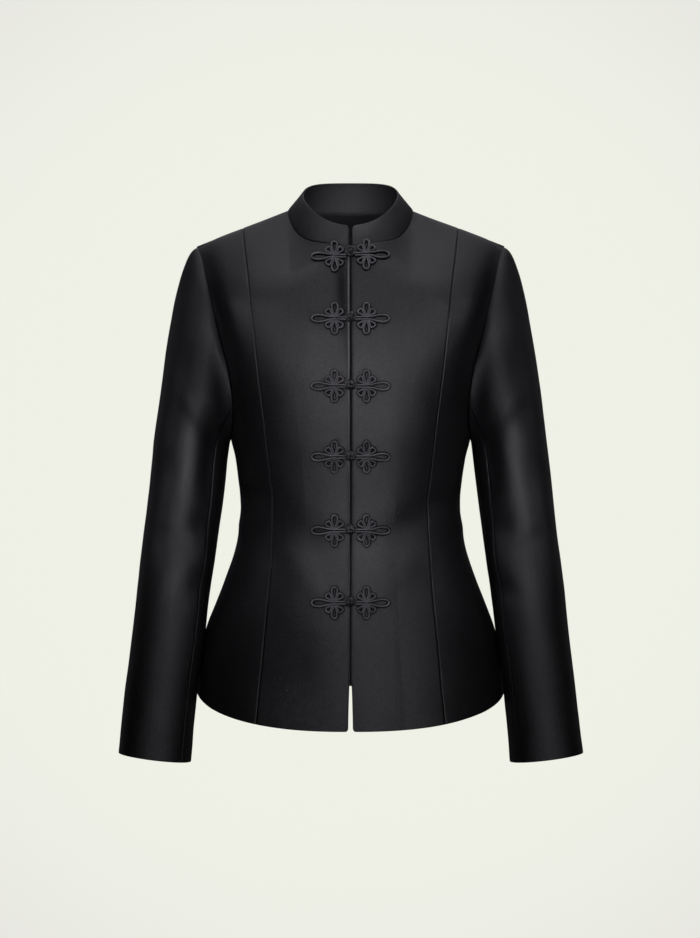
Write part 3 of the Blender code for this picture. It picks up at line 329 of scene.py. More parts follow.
def torso_point(face, angle, level):
    """Outer surface of the body. face is -1 in front and 1 behind, angle runs from the
    centre line to the side seam at a right angle, level is the height before the rise."""
    depth_name, square_name = face_columns(face)
    half_width = table_value(TORSO_LEVELS, "half_width", level)
    depth = table_value(TORSO_LEVELS, depth_name, level)
    square = table_value(TORSO_LEVELS, square_name, level)
    across = half_width * math.sin(angle) ** (2.0 / square)
    full = depth * max(math.cos(angle), 0.0)
    drop = clamp((ridge_height(across) - level) / SHOULDER_ROUND)
    outer = smoothstep(across, NECK_HALF_WIDTH, SHOULDER_HALF_WIDTH)
    ridge = RIDGE_RADIUS_NECK + (RIDGE_RADIUS_ARM - RIDGE_RADIUS_NECK) * outer
    reach = (math.hypot(full, ridge) - ridge) * (1.0 - (1.0 - drop) ** 2)
    out = math.sqrt((reach + ridge) ** 2 - ridge**2)
    y = ridge_y(across) + face * out
    return np.array((across, y, level + neck_rise(across, y, level)))


def angle_at(face, across, level):
    """The angle whose point lies a given distance from the centre line."""
    half_width = table_value(TORSO_LEVELS, "half_width", level)
    square = table_value(TORSO_LEVELS, face_columns(face)[1], level)
    return math.asin(clamp(across / half_width) ** (square / 2.0))


def princess_angle(face, level):
    rows = FRONT_PRINCESS if face < 0 else BACK_PRINCESS
    return angle_at(face, table_value(rows, "across", level), level)


def centre_edge(face, level):
    """Half the gap between the two centre panels."""
    if face > 0:
        return BACK_EDGE
    opened = smoothstep(-level, -SLIT_TOP, -SLIT_BOTTOM)
    return FRONT_EDGE + (SLIT_HALF_WIDTH - FRONT_EDGE) * opened


NECK_SEARCH_DEPTH, NECK_SEARCH_STEPS = 0.16, 40
HEM_SEARCH_STEPS = 8


def neck_corner(face, across):
    """(angle, level) on the neckline at a distance from the centre."""
    sideways = clamp(across / NECK_HALF_WIDTH)
    if sideways > 0.999999:
        return angle_at(face, across, ridge_height(across)), ridge_height(across)
    radius = NECK_FRONT if face < 0 else NECK_BACK
    wanted = NECK_CENTRE_Y + face * radius * math.sqrt(1.0 - sideways**2)
    high, low = ridge_height(across), ridge_height(across) - NECK_SEARCH_DEPTH
    for _ in range(NECK_SEARCH_STEPS):
        middle = (high + low) / 2
        y = torso_point(face, angle_at(face, across, middle), middle)[1]
        if face * (y - wanted) < 0:
            high = middle
        else:
            low = middle
    level = (high + low) / 2
    return angle_at(face, across, level), level


def hem_level(face, angle):
    """The hem dips towards the centre front and a little towards the centre back."""
    dip = FRONT_HEM_DIP if face < 0 else BACK_HEM_DIP
    level = SIDE_HEM
    for _ in range(HEM_SEARCH_STEPS):
        level = SIDE_HEM - dip * abs(torso_point(face, angle, level)[1])
    return level


def centre_angle(face, share, level):
    """The angle part of the way from the centre edge (0) to the princess seam (1)."""
    edge = angle_at(face, centre_edge(face, level), level)
    return edge + share * (princess_angle(face, level) - edge)


def hem_foot(face, share):
    """The level where a column of the centre panel meets the hem."""
    foot = PRINCESS_HEM
    for _ in range(HEM_SEARCH_STEPS):
        foot = hem_level(face, centre_angle(face, share, foot))
    return foot


# ---------------------------------------------------------------- body panels

def row_places():
    """Places of the rows down a panel: 0 at the shoulder, 1 at the armpit, 2 at the hem."""
    places = {i / ARM_STEPS for i in range(ARM_STEPS + 1)}
    places |= {1 + i / LOWER_STEPS for i in range(LOWER_STEPS + 1)}
    places |= {d / ARM_ROWS_LENGTH for d in NEAR_SEAM[:-1]}
    places |= {2 - d / LOWER_ROWS_LENGTH for d in NEAR_EDGE}
    return sorted(places)


def down_from(top, armpit, hem, place):
    """A level part of the way from the shoulder past the armpit to the hem."""
    if place <= 1.0:
        return top + (armpit - top) * place
    return armpit + (hem - armpit) * (place - 1.0)


def neck_columns():
    """Distances from the centre line along the neckline, from the front edge outwards."""
    near = [FRONT_EDGE + d for d in (0.0,) + NEAR_EDGE]
    start = math.asin(near[-1] / NECK_HALF_WIDTH)
    turns = [start + (math.pi / 2 - start) * i / NECK_STEPS for i in range(1, NECK_STEPS)]
    return near + [NECK_HALF_WIDTH * math.sin(turn) for turn in turns] + [NECK_HALF_WIDTH]


def shoulder_columns(start, end):
    """Distances from the centre line along the shoulder seam, to the princess seam."""
    places = [start + (end - start) * i / SHOULDER_STEPS for i in range(1, SHOULDER_STEPS)]
    near = [end - d for d in NEAR_SEAM]
    return sorted(place for place in places if place < near[-1] - 0.001) + near[::-1] + [end]


def seam_top():
    """Across and level of the place where the princess seam meets the shoulder seam."""
    level = ridge_height(table_value(FRONT_PRINCESS, "across", SEAM_TOP))
    return table_value(FRONT_PRINCESS, "across", level), level


def centre_panel(face):
    """Outer points of a centre panel, rows down and columns out to the princess seam."""
    end, top = seam_top()
    hem = hem_foot(face, 1.0)
    heads = [(across, *neck_corner(face, across)) for across in neck_columns()]
    for across in shoulder_columns(NECK_HALF_WIDTH, end):
        level = ridge_height(across)
        heads.append((across, angle_at(face, across, level), level))
    downs = [(down_from(top, ARMPIT_HEIGHT, hem, place) - top) / (hem - top)
             for place in row_places()]
    grid = []
    for number, (across, angle, head) in enumerate(heads):
        edge = angle_at(face, centre_edge(face, head), head)
        share = clamp((angle - edge) / (princess_angle(face, head) - edge))
        if number == 0:
            share = 0.0
        foot = hem_foot(face, share)
        near = across - FRONT_EDGE
        if face < 0 and near < FRONT_CORNER_RADIUS:
            rest = FRONT_CORNER_RADIUS - near
            foot += FRONT_CORNER_RADIUS - math.sqrt(FRONT_CORNER_RADIUS**2 - rest**2)
        column = []
        for down in downs:
            level = head + (foot - head) * down
            column.append(torso_point(face, centre_angle(face, share, level), level))
        grid.append(column)
    points = np.array(grid).transpose(1, 0, 2)
    if face > 0:
        points[:, 0, 0] = 0.0
    return points


class Armhole:
    """The armhole's line on one face of the body, by the share of its length."""

    def __init__(self, face):
        rows = FRONT_ARMHOLE if face < 0 else BACK_ARMHOLE
        top, foot = ridge_height(SHOULDER_HALF_WIDTH), rows[-1].height
        self.corners = [(angle_at(face, SHOULDER_HALF_WIDTH, top), top)]
        for i in range(1, ARMHOLE_SAMPLES + 1):
            height = top + (foot - top) * i / ARMHOLE_SAMPLES
            across = table_value(rows, "across", height)
            self.corners.append((angle_at(face, across, height), height))
        self.corners.append((math.pi / 2, ARMPIT_HEIGHT))
        points = [torso_point(face, *corner) for corner in self.corners]
        steps = [np.linalg.norm(b - a) for a, b in zip(points, points[1:])]
        self.lengths = np.concatenate(([0.0], np.cumsum(steps)))

    def corner(self, share):
        """(angle, level) at a share of the way from the shoulder to the armpit."""
        target = self.lengths[-1] * share
        k = int(np.searchsorted(self.lengths, target)) - 1
        k = int(clamp(k, 0, len(self.lengths) - 2))
        t = (target - self.lengths[k]) / (self.lengths[k + 1] - self.lengths[k])
        return tuple(np.array(self.corners[k]) * (1 - t) + np.array(self.corners[k + 1]) * t)


def flank_columns():
    """Shares of the way from the princess seam to the armhole and side seam."""
    shares = {i / FLANK_STEPS for i in range(FLANK_STEPS + 1)}
    for distance in NEAR_SEAM:
        shares |= {distance / FLANK_WIDTH, 1 - distance / FLANK_WIDTH}
    return sorted(shares)


def side_panel(face, armhole):
    """Outer points of a side panel, rows down and columns out to the side seam."""
    start, top = seam_top()
    hem = hem_foot(face, 1.0)
    grid = []
    for place in row_places():
        inner = down_from(top, ARMPIT_HEIGHT, hem, place)
        inner_angle = princess_angle(face, inner)
        if place <= 1.0:
            outer_angle, outer = armhole.corner(place)
        else:
            outer_angle = math.pi / 2
            outer = down_from(top, ARMPIT_HEIGHT, SIDE_HEM, place)
        row = []
        for share in flank_columns():
            angle = inner_angle + (outer_angle - inner_angle) * share
            level = inner + (outer - inner) * share
            if place < 1.0:
                across = start + (SHOULDER_HALF_WIDTH - start) * share
                on_seam = angle_at(face, across, ridge_height(across))
                from_seam = princess_angle(face, top) * (1 - share)
                from_seam += armhole.corner(0.0)[0] * share
                angle += (on_seam - from_seam) * (1.0 - place) ** SHOULDER_PULL
            elif 0.0 < share < 1.0:
                foot_angle = princess_angle(face, hem) * (1 - share) + math.pi / 2 * share
                straight = hem * (1 - share) + SIDE_HEM * share
                level += (hem_level(face, foot_angle) - straight) * (place - 1.0) ** 2
            row.append(torso_point(face, angle, level))
        grid.append(row)
    return np.array(grid)


def fold_lift(folds, points):
    """How far the folds lift each point of a grid off its smooth surface."""
    lift = np.zeros(points.shape[:2])
    for fold in folds:
        turn = math.radians(fold.turn)
        dx, dz = points[..., 0] - fold.across, points[..., 2] - fold.height
        along = dx * math.cos(turn) + dz * math.sin(turn)
        off = -dx * math.sin(turn) + dz * math.cos(turn)
        lift += fold.lift * np.exp(-((along / fold.length) ** 2) - (off / fold.width) ** 2)
    return lift


def unevenness(points):
    """The slight soft waviness of cloth over its interfacing, as a lift of each point."""
    lift = np.zeros(points.shape[:2])
    for wave in WAVES:
        for place in np.ndindex(lift.shape):
            lift[place] += wave.lift * smooth_noise.noise(Vector(points[place] / wave.length))
    return lift


# ---------------------------------------------------------------- sleeves

CLIMB_TURN = 60.0                # degrees round the arm over which a fold rises by its climb
CAP_LENGTH = 0.22
ARM_RADIUS = 0.045


def sleeve_section(height, angle):
    """A point round the arm, with the section square to the leaning arm."""
    outer = table_value(SLEEVE_LEVELS, "outer", height)
    inner = table_value(SLEEVE_LEVELS, "inner", height)
    centre_y = table_value(SLEEVE_LEVELS, "centre_y", height)
    half_depth = table_value(SLEEVE_LEVELS, "half_depth", height)
    middle, half = (outer + inner) / 2, (outer - inner) / 2
    lift = 0.0
    for fold in SLEEVE_FOLDS:
        turned = (math.degrees(angle) - fold.angle + 180.0) % 360.0 - 180.0
        off = height - fold.height - fold.climb * turned / CLIMB_TURN
        lift += fold.lift * math.exp(-((turned / fold.spread) ** 2) - (off / fold.width) ** 2)
    return np.array((
        middle + (half + lift) * math.cos(angle),
        centre_y - (half_depth + lift) * math.sin(angle),
        height + half * math.cos(angle) * math.tan(SLEEVE_LEAN),
    ))


def cap_rows():
    """Shares of the way from the armhole to the round of the arm."""
    shares = {i / SLEEVE_CAP_STEPS for i in range(SLEEVE_CAP_STEPS + 1)}
    return sorted(shares | {distance / CAP_LENGTH for distance in NEAR_SEAM})


def arm_heights():
    """Heights of the rows below the cap, down to the cuff."""
    start, end = SLEEVE_LEVELS[0].height, SLEEVE_LEVELS[-1].height
    count = round((start - end) / SLEEVE_STEP_HEIGHT)
    heights = {start + (end - start) * i / count for i in range(1, count + 1)}
    return sorted(heights | {end + d for d in NEAR_EDGE}, reverse=True)


def sleeve_turns(start, end):
    """Degrees round the sleeve of the columns of one piece, close together at its seams."""
    count = round((end - start) / SLEEVE_STEP_TURN)
    turns = {start + (end - start) * i / count for i in range(count + 1)}
    for distance in NEAR_SEAM:
        degrees = math.degrees(distance / ARM_RADIUS)
        turns |= {start + degrees, end - degrees}
    return sorted(turns)


def armhole_edges(grids, side, side_name):
    """The edges of the two side panels from shoulder to armpit, by face, on the left."""
    places = [place for place in row_places() if place <= 1.0]
    return {face: (places, grids[f"{label}_side_{side_name}"][:len(places), -1] * (side, 1, 1))
            for face, label in ((-1, "front"), (1, "back"))}


def edge_point(edge, share):
    places, points = edge
    return np.array([np.interp(share, places, points[:, k]) for k in range(3)])


def sleeve_piece(edges, start, end):
    """Outer points of one sleeve piece on the left side, rows from the armhole down."""
    grid = []
    first = SLEEVE_LEVELS[0].height
    for degrees in sleeve_turns(start, end):
        degrees = degrees % 360.0
        angle = math.radians(degrees)
        face, share = (-1, degrees / 180.0) if degrees <= 180.0 else (1, 2.0 - degrees / 180.0)
        root = edge_point(edges[face], share) - np.array((SLEEVE_TUCK, 0.0, 0.0))
        top = (1 + math.cos(angle)) / 2
        swell = CAP_SWELL * math.sqrt(abs(math.sin(angle))) * min(1.0, 2 * top)
        end_point = sleeve_section(first, angle)
        leave = np.array((
            CAP_OUT_UNDER + (CAP_OUT_TOP - CAP_OUT_UNDER) * top,
            -math.copysign(swell, math.sin(angle)),
            -(CAP_FALL_UNDER + (CAP_FALL_TOP - CAP_FALL_UNDER) * top),
        ))
        reach = ARM_REACH_UNDER + (ARM_REACH_TOP - ARM_REACH_UNDER) * top
        arrive = np.array((math.sin(SLEEVE_LEAN), 0.0, -math.cos(SLEEVE_LEAN))) * reach
        column = [root - unit(leave) * SLEEVE_TURN_IN]
        for t in cap_rows():
            column.append(root * (2 * t**3 - 3 * t**2 + 1) + leave * (t**3 - 2 * t**2 + t)
                          + end_point * (3 * t**2 - 2 * t**3) + arrive * (t**3 - t**2))
        column += [sleeve_section(height, angle) for height in arm_heights()]
        grid.append(column)
    return np.array(grid).transpose(1, 0, 2)


# ---------------------------------------------------------------- collar

def neck_point(turn):
    """A point of the neckline, turn being 0 at the centre front and 2 at the centre back."""
    face, part = (-1, turn) if turn <= 1.0 else (1, 2.0 - turn)
    across = max(NECK_HALF_WIDTH * math.sin(part * math.pi / 2), centre_edge(face, 0.0))
    return torso_point(face, *neck_corner(face, across))


def rim_point(turn):
    around = turn * math.pi / 2
    depth = RIM_FRONT if turn <= 1.0 else RIM_BACK
    height = (RIM_MEAN_HEIGHT - RIM_TILT * math.cos(around)
              - RIM_SADDLE * math.cos(2 * around))
    return np.array((RIM_HALF_WIDTH * math.sin(around),
                     RIM_CENTRE_Y - depth * math.cos(around), height))


def collar_turns():
    """Places round the neck, from 0 at the centre front to 2 at the centre back."""
    first = [2 / math.pi * math.asin((COLLAR_END_GAP + d) / NECK_HALF_WIDTH)
             for d in (0.0,) + NEAR_EDGE + (0.0042, 0.0056, 0.0072)]
    count = COLLAR_STEPS
    return first + [first[-1] + (2.0 - first[-1]) * i / count for i in range(1, count + 1)]


def collar_shares(height):
    """Shares of the way up the collar, close together at the seam and the rim."""
    shares = {i / COLLAR_ROWS for i in range(COLLAR_ROWS + 1)}
    shares |= {d / height for d in NEAR_SEAM[:-1]}
    shares |= {1 - d / height for d in NEAR_EDGE[:-1]}
    return sorted(shares, reverse=True)


def collar_points():
    """Rows from the rim down to the neck seam, columns from one front end to the other."""
    turns = collar_turns()
    half = []
    for turn in turns:
        base, rim = neck_point(turn), rim_point(turn)
        base = base - unit(rim - base) * COLLAR_TUCK
        outward = unit(np.array((base[0], base[1] * 1.1, 0.0)))
        near = (turn - turns[0]) * math.pi / 2 * NECK_HALF_WIDTH
        height = np.linalg.norm(rim - base)
        fall = 0.0
        if near < COLLAR_CORNER_RADIUS:
            rest = COLLAR_CORNER_RADIUS - near
            fall = COLLAR_CORNER_RADIUS - math.sqrt(COLLAR_CORNER_RADIUS**2 - rest**2)
        column = []
        for share in collar_shares(height):
            t = share * (1.0 - fall / height)
            point = base + (rim - base) * t + outward * COLLAR_BOW * 4 * t * (1 - t)
            shift = COLLAR_END_GAP - NECK_HALF_WIDTH * math.sin(turns[0] * math.pi / 2)
            if turn < 0.5:
                lacking = COLLAR_END_GAP * t * (1 - RIM_HALF_WIDTH / NECK_HALF_WIDTH)
                point[0] += shift + lacking * (1.0 - smoothstep(turn, 0.0, 0.5))
            column.append(point)
        half.append(column)
    for point in half[-1]:
        point[0] = 0.0
    mirrored = [[point * np.array((-1.0, 1.0, 1.0)) for point in column] for column in half]
    return np.array(half + mirrored[-2::-1]).transpose(1, 0, 2)


# ---------------------------------------------------------------- walls of cloth

def grid_normals(points, heart):
    """Unit normals of a grid, pointing away from a point inside."""
    across = np.gradient(points, axis=1)
    down = np.gradient(points, axis=0)
    normals = np.cross(down, across)
    normals /= np.maximum(np.linalg.norm(normals, axis=2, keepdims=True), 1e-12)
    middle = (points.shape[0] // 2, points.shape[1] // 2)
    if np.dot(normals[middle], points[middle] - np.array(heart)) < 0:
        normals = -normals
    return normals


def seam_key(point):
    return tuple(int(round(c * 10000)) for c in point)


def border(shape):
    rows, columns = shape[:2]
    places = [(0, j) for j in range(columns)] + [(rows - 1, j) for j in range(columns)]
    return places + [(i, j) for i in range(1, rows - 1) for j in (0, columns - 1)]


def share_seam_normals(grids, normals):
    """Averages the normals of panels where they meet, so that seams run smoothly."""
    total = {}
    for name, points in grids.items():
        for place in border(points.shape):
            total.setdefault(seam_key(points[place]), []).append(normals[name][place].copy())
    for name, points in grids.items():
        for place in border(points.shape):
            normals[name][place] = unit(sum(total[seam_key(points[place])]))


# What an edge of a piece does to the cloth beside it
Edge = namedtuple("Edge", "groove groove_reach roll roll_place roll_reach rounding allowance")
PLAIN_SEAM = Edge(0.00060, 0.0007, 0.00003, 0.0032, 0.0018, 0.0, 0.0100)
ROLLED_SEAM = Edge(0.00060, 0.0007, 0.00007, 0.0020, 0.0009, 0.0, 0.0100)
ARMHOLE_SEAM = Edge(0.0, 1.0, 0.00030, 0.0036, 0.0020, 0.0, 0.0)
HEM_EDGE = Edge(0.0, 1.0, 0.0, 1.0, 1.0, 0.00075, 0.0320)
FRONT_FOLD = Edge(0.0, 1.0, 0.00020, 0.0026, 0.0022, 0.00075, 0.0550)
OVER_FOLD = Edge(0.0, 1.0, 0.00050, 0.0018, 0.0018, 0.00060, 0.0550)
# A strip of painted highlight beside the fold of the over front: its place and reach from the
# edge, the heights where it fades, and its least share low down.
PAINTED_HIGHLIGHT_PLACE, PAINTED_HIGHLIGHT_REACH = 0.0017, 0.0006
PAINTED_HIGHLIGHT_TOP, PAINTED_HIGHLIGHT_BOTTOM, PAINTED_HIGHLIGHT_FADE = -0.0600, -0.3200, 0.0150
PAINTED_HIGHLIGHT_LOWER_FADE, PAINTED_HIGHLIGHT_LEAST = 13 * PAINTED_HIGHLIGHT_FADE, 0.25
# The most gleam that the painted shade patches take away
MOST_PAINTED_SHADE = 0.9
ROUND_SHARE = 0.92               # how nearly a round edge meets the middle of the wall
LEAST_WALL_SHARE = 0.12
SHARP_ANGLE = 65
ALLOWANCE_THICKNESS = 0.0005
ALLOWANCE_STEP = 0.0008


def outer_profile(edge, distance):
    """How the outer face dips and swells near an edge."""
    offset = -edge.groove * np.exp(-((distance / edge.groove_reach) ** 2))
    offset += edge.roll * np.exp(-(((distance - edge.roll_place) / edge.roll_reach) ** 2))
    return offset - rounded_off(edge, distance)


def rounded_off(edge, distance):
    """How far a face turns inwards to make a round edge."""
    if edge.rounding == 0.0:
        return np.zeros_like(distance)
    rest = np.clip(1.0 - distance / edge.rounding, 0.0, 1.0)
    return edge.rounding * (1.0 - np.sqrt(1.0 - rest**2)) * ROUND_SHARE


def inner_profile(edge, distance):
    """The turned-in allowance that thickens the inside near an edge."""
    offset = rounded_off(edge, distance)
    if edge.allowance:
        t = np.clip((edge.allowance - distance) / ALLOWANCE_STEP, 0.0, 1.0)
        offset = offset - ALLOWANCE_THICKNESS * t * t * (3 - 2 * t)
    return offset


def edge_distances(points):
    across, down = lengths_along(points, 1), lengths_along(points, 0)
    return {"left": across, "right": across[:, -1:] - across,
            "top": down, "bottom": down[-1:] - down}


def painted_highlight_share(points, distance):
    """How much painted highlight lies on each point: a paler strip painted beside the fold of the
    over front, below the collar, as a gleam.
    """
    strip = np.exp(-(((distance - PAINTED_HIGHLIGHT_PLACE) / PAINTED_HIGHLIGHT_REACH) ** 2))
    down = np.clip((PAINTED_HIGHLIGHT_TOP - points[..., 2]) / PAINTED_HIGHLIGHT_FADE, 0.0, 1.0)
    up = np.clip((points[..., 2] - PAINTED_HIGHLIGHT_BOTTOM) / PAINTED_HIGHLIGHT_LOWER_FADE,
                 PAINTED_HIGHLIGHT_LEAST, 1.0)
    return strip * down * up


def cloth_shell(name, points, normals, wall, edges, material, plain_rows=0):
    """A closed thin shell with its own map in metres, as a new object. Its right edge is
    left plain along the first rows, where the sleeve covers it."""
    distances = edge_distances(points)
    outside = np.zeros(points.shape[:2])
    inside = np.full(points.shape[:2], -wall)
    for side, edge in edges.items():
        dip = outer_profile(edge, distances[side])
        if side == "right":
            dip[:plain_rows] = 0.0
        outside += dip
        inside += inner_profile(edge, distances[side])
    inside = np.minimum(inside, outside - wall * LEAST_WALL_SHARE)
    skins = (points + normals * outside[..., None], points + normals * inside[..., None])
    uv = np.stack((distances["left"] - distances["left"][:, :1], -distances["top"]), axis=2)
    piece = skin_object(name, skins, normals, uv, material)
    none = np.zeros(points.shape[:2])
    # A painted highlight: a paler strip beside the over front's fold
    painted_highlight = none
    if edges["left"] == OVER_FOLD:
        painted_highlight = painted_highlight_share(points, distances["left"])
    add_mark(piece, "painted_highlight", painted_highlight, none)
    # Painted shade: the share of gleam taken away over the painted shade patches
    painted_shade = np.clip(fold_lift(PAINTED_SHADE_PATCHES, points), 0.0, MOST_PAINTED_SHADE)
    add_mark(piece, "painted_shade", painted_shade, none)
    add_mark(piece, "inner", none, none + 1.0)
    return piece


def add_mark(piece, name, outer, inner):
    """A number on each point of the outer and the inner face, for the material."""
    mark = piece.data.attributes.new(name, "FLOAT", "POINT")
    mark.data.foreach_set("value", np.concatenate((outer, inner)).astype(np.float32).ravel())


def skin_object(name, skins, normals, uv, material):
    rows, columns = skins[0].shape[:2]
    number = np.arange(rows * columns).reshape(rows, columns)
    quads = np.stack((number[:-1, :-1], number[1:, :-1], number[1:, 1:], number[:-1, 1:]), axis=2)
    quads = quads.reshape(-1, 4)
    corner = skins[0].reshape(-1, 3)
    probe = quads[(rows // 2) * (columns - 1) + columns // 2]
    turned = np.cross(corner[probe[1]] - corner[probe[0]], corner[probe[3]] - corner[probe[0]])
    outward = normals.reshape(-1, 3)[probe[0]]
    loop = list(number[:, 0]) + list(number[-1, 1:]) + list(number[-2::-1, -1])
    loop += list(number[0, -2:0:-1])
    if np.dot(turned, outward) < 0:
        quads = quads[:, ::-1]
        loop = loop[::-1]
    shift = rows * columns
    rim = [(a + shift, b + shift, b, a) for a, b in zip(loop, loop[1:] + loop[:1])]
    faces = np.concatenate((quads, quads[:, ::-1] + shift, np.array(rim)))
    mesh = bpy.data.meshes.new(name)
    mesh.from_pydata(np.concatenate(skins).reshape(-1, 3).tolist(), [], faces.tolist())
    layer = mesh.uv_layers.new(name="cloth")
    corners = np.zeros(len(mesh.loops), dtype=np.int32)
    mesh.loops.foreach_get("vertex_index", corners)
    places = np.concatenate((uv.reshape(-1, 2), uv.reshape(-1, 2)))
    layer.data.foreach_set("uv", places[corners].astype(np.float32).ravel())
    mesh.shade_smooth()
    mesh.set_sharp_from_angle(angle=math.radians(SHARP_ANGLE))
    mesh.materials.append(material)
    piece = bpy.data.objects.new(name, mesh)
    bpy.context.scene.collection.objects.link(piece)
    return piece


# ---------------------------------------------------------------- shader groups

def new_group(name, inputs, outputs):
    """An empty shader group with named sockets: (kind, name, start value)."""
    group = bpy.data.node_groups.new(name, "ShaderNodeTree")
    for kind, label, value in inputs:
        socket = group.interface.new_socket(label, in_out="INPUT", socket_type=kind)
        if value is not None:
            socket.default_value = value
    for kind, label in outputs:
        group.interface.new_socket(label, in_out="OUTPUT", socket_type=kind)
    return group, group.nodes.new("NodeGroupInput"), group.nodes.new("NodeGroupOutput")


def node(tree, kind, settings=(), values=()):
    """A node with its settings and its unlinked inputs set."""
    made = tree.nodes.new(kind)
    for key, value in dict(settings).items():
        setattr(made, key, value)
    for key, value in dict(values).items():
        made.inputs[key].default_value = value
    return made


def maths(tree, operation, first, second):
    """A Math node. Each side is a socket or a number."""
    made = node(tree, "ShaderNodeMath", {"operation": operation})
    for place, side in enumerate((first, second)):
        if isinstance(side, (int, float)):
            made.inputs[place].default_value = side
        else:
            tree.links.new(side, made.inputs[place])
    return made.outputs[0]


FLOAT, COLOUR, VECTOR = "NodeSocketFloat", "NodeSocketColor", "NodeSocketVector"
Groups = namedtuple("Groups", "weave tone nook")


def noise(tree, vector, stretch, detail=2.0, roughness=0.5):
    """Noise with its own scale along each axis, from -0.5 to 0.5."""
    scaled = node(tree, "ShaderNodeVectorMath", {"operation": "MULTIPLY"})
    scaled.inputs[1].default_value = stretch
    tree.links.new(vector, scaled.inputs[0])
    made = node(tree, "ShaderNodeTexNoise", (),
                {"Scale": 1.0, "Detail": detail, "Roughness": roughness})
    tree.links.new(scaled.outputs[0], made.inputs["Vector"])
    return maths(tree, "SUBTRACT", made.outputs["Fac"], 0.5)


def satin_weave_group():
    """Warp floats, picks and slubs of a satin, as a height and a speckle."""
    group, start, end = new_group(
        "Satin weave",
        [(VECTOR, "Map", None), (VECTOR, "Place", None), (FLOAT, "Slub", 0.35)],
        [(FLOAT, "Height"), (FLOAT, "Speckle")])
    floats = noise(group, start.outputs["Map"], (2600.0, 300.0, 1.0), 1.0)
    picks = noise(group, start.outputs["Map"], (420.0, 1500.0, 1.0), 1.0)
    slubs = noise(group, start.outputs["Map"], (150.0, 760.0, 1.0), 2.0)
    grain = noise(group, start.outputs["Place"], (820.0, 820.0, 820.0), 2.0, 0.6)
    yarn = maths(group, "ADD", floats, maths(group, "MULTIPLY", picks, 0.6))
    rough = maths(group, "MULTIPLY", slubs, start.outputs["Slub"])
    height = maths(group, "ADD", yarn, maths(group, "ADD", rough, grain))
    speckle = maths(group, "ADD", grain, maths(group, "MULTIPLY", slubs, 0.7))
    group.links.new(height, end.inputs["Height"])
    group.links.new(speckle, end.inputs["Speckle"])
    return group


def cloth_tone_group():
    """Colour and roughness that change a little over the cloth, with wear and speckle."""
    group, start, end = new_group(
        "Cloth tone",
        [(VECTOR, "Place", None), (FLOAT, "Speckle", 0.0), (COLOUR, "Deep", None),
         (COLOUR, "Raised", None), (FLOAT, "Roughness", 0.40), (FLOAT, "Unevenness", 0.05)],
        [(COLOUR, "Colour"), (FLOAT, "Roughness")])
    broad = noise(group, start.outputs["Place"], (11.0, 11.0, 7.0), 2.0)
    patch = noise(group, start.outputs["Place"], (48.0, 48.0, 30.0), 3.0)
    mixed = maths(group, "ADD", broad, maths(group, "MULTIPLY", patch, 0.6))
    tone = maths(group, "ADD", mixed, maths(group, "MULTIPLY", start.outputs["Speckle"], 1.1))
    share = node(group, "ShaderNodeMapRange", (), {"From Min": -0.5, "From Max": 0.5})
    group.links.new(tone, share.inputs["Value"])
    blend = node(group, "ShaderNodeMix", {"data_type": "RGBA"})
    group.links.new(share.outputs[0], blend.inputs["Factor"])
    group.links.new(start.outputs["Deep"], blend.inputs["A"])
    group.links.new(start.outputs["Raised"], blend.inputs["B"])
    spread = maths(group, "MULTIPLY", mixed, start.outputs["Unevenness"])
    grit = maths(group, "MULTIPLY", start.outputs["Speckle"], -0.16)
    rough = maths(group, "ADD", start.outputs["Roughness"], maths(group, "ADD", spread, grit))
    group.links.new(blend.outputs["Result"], end.inputs["Colour"])
    group.links.new(rough, end.inputs["Roughness"])
    return group


def painted_nook_shade_group():
    """Painted shade: darkens colour and gleam in narrow nooks, such as between cords and at seams,
    as far as they are closed in.
    """
    group, start, end = new_group(
        "Nook", [(COLOUR, "Colour", None), (FLOAT, "Reach", 0.0019), (FLOAT, "Depth", 7.0),
                 (FLOAT, "Speckle", 0.0)],
        [(COLOUR, "Colour"), (COLOUR, "Gleam")])
    reach = node(group, "ShaderNodeAmbientOcclusion", {"samples": 6})
    group.links.new(start.outputs["Reach"], reach.inputs["Distance"])
    open_share = maths(group, "POWER", reach.outputs["AO"], start.outputs["Depth"])
    grain = maths(group, "ADD", maths(group, "MULTIPLY", start.outputs["Speckle"], 0.55), 0.88)
    light = maths(group, "MULTIPLY", open_share, grain)
    for label, source in (("Colour", start.outputs["Colour"]), ("Gleam", None)):
        shade = node(group, "ShaderNodeMix", {"data_type": "RGBA"},
                     {"A": (0.0, 0.0, 0.0, 1.0), "B": (1.0, 1.0, 1.0, 1.0)})
        group.links.new(light, shade.inputs["Factor"])
        if source:
            group.links.new(source, shade.inputs["B"])
        group.links.new(shade.outputs["Result"], end.inputs[label])
    return group


def placed_group(material, group, values):
    made = material.node_tree.nodes.new("ShaderNodeGroup")
    made.node_tree = group
    for key, value in values.items():
        made.inputs[key].default_value = value
    return made


SATIN_GRAIN, SATIN_GRAIN_SHARE = (520.0, 520.0, 380.0), 0.60
# A paler colour painted as a highlight beside the over front's fold; then the colour of the inner
# faces
PAINTED_HIGHLIGHT_COLOUR = (0.170, 0.167, 0.177)
INNER_COLOUR = (0.0210, 0.0205, 0.0225)


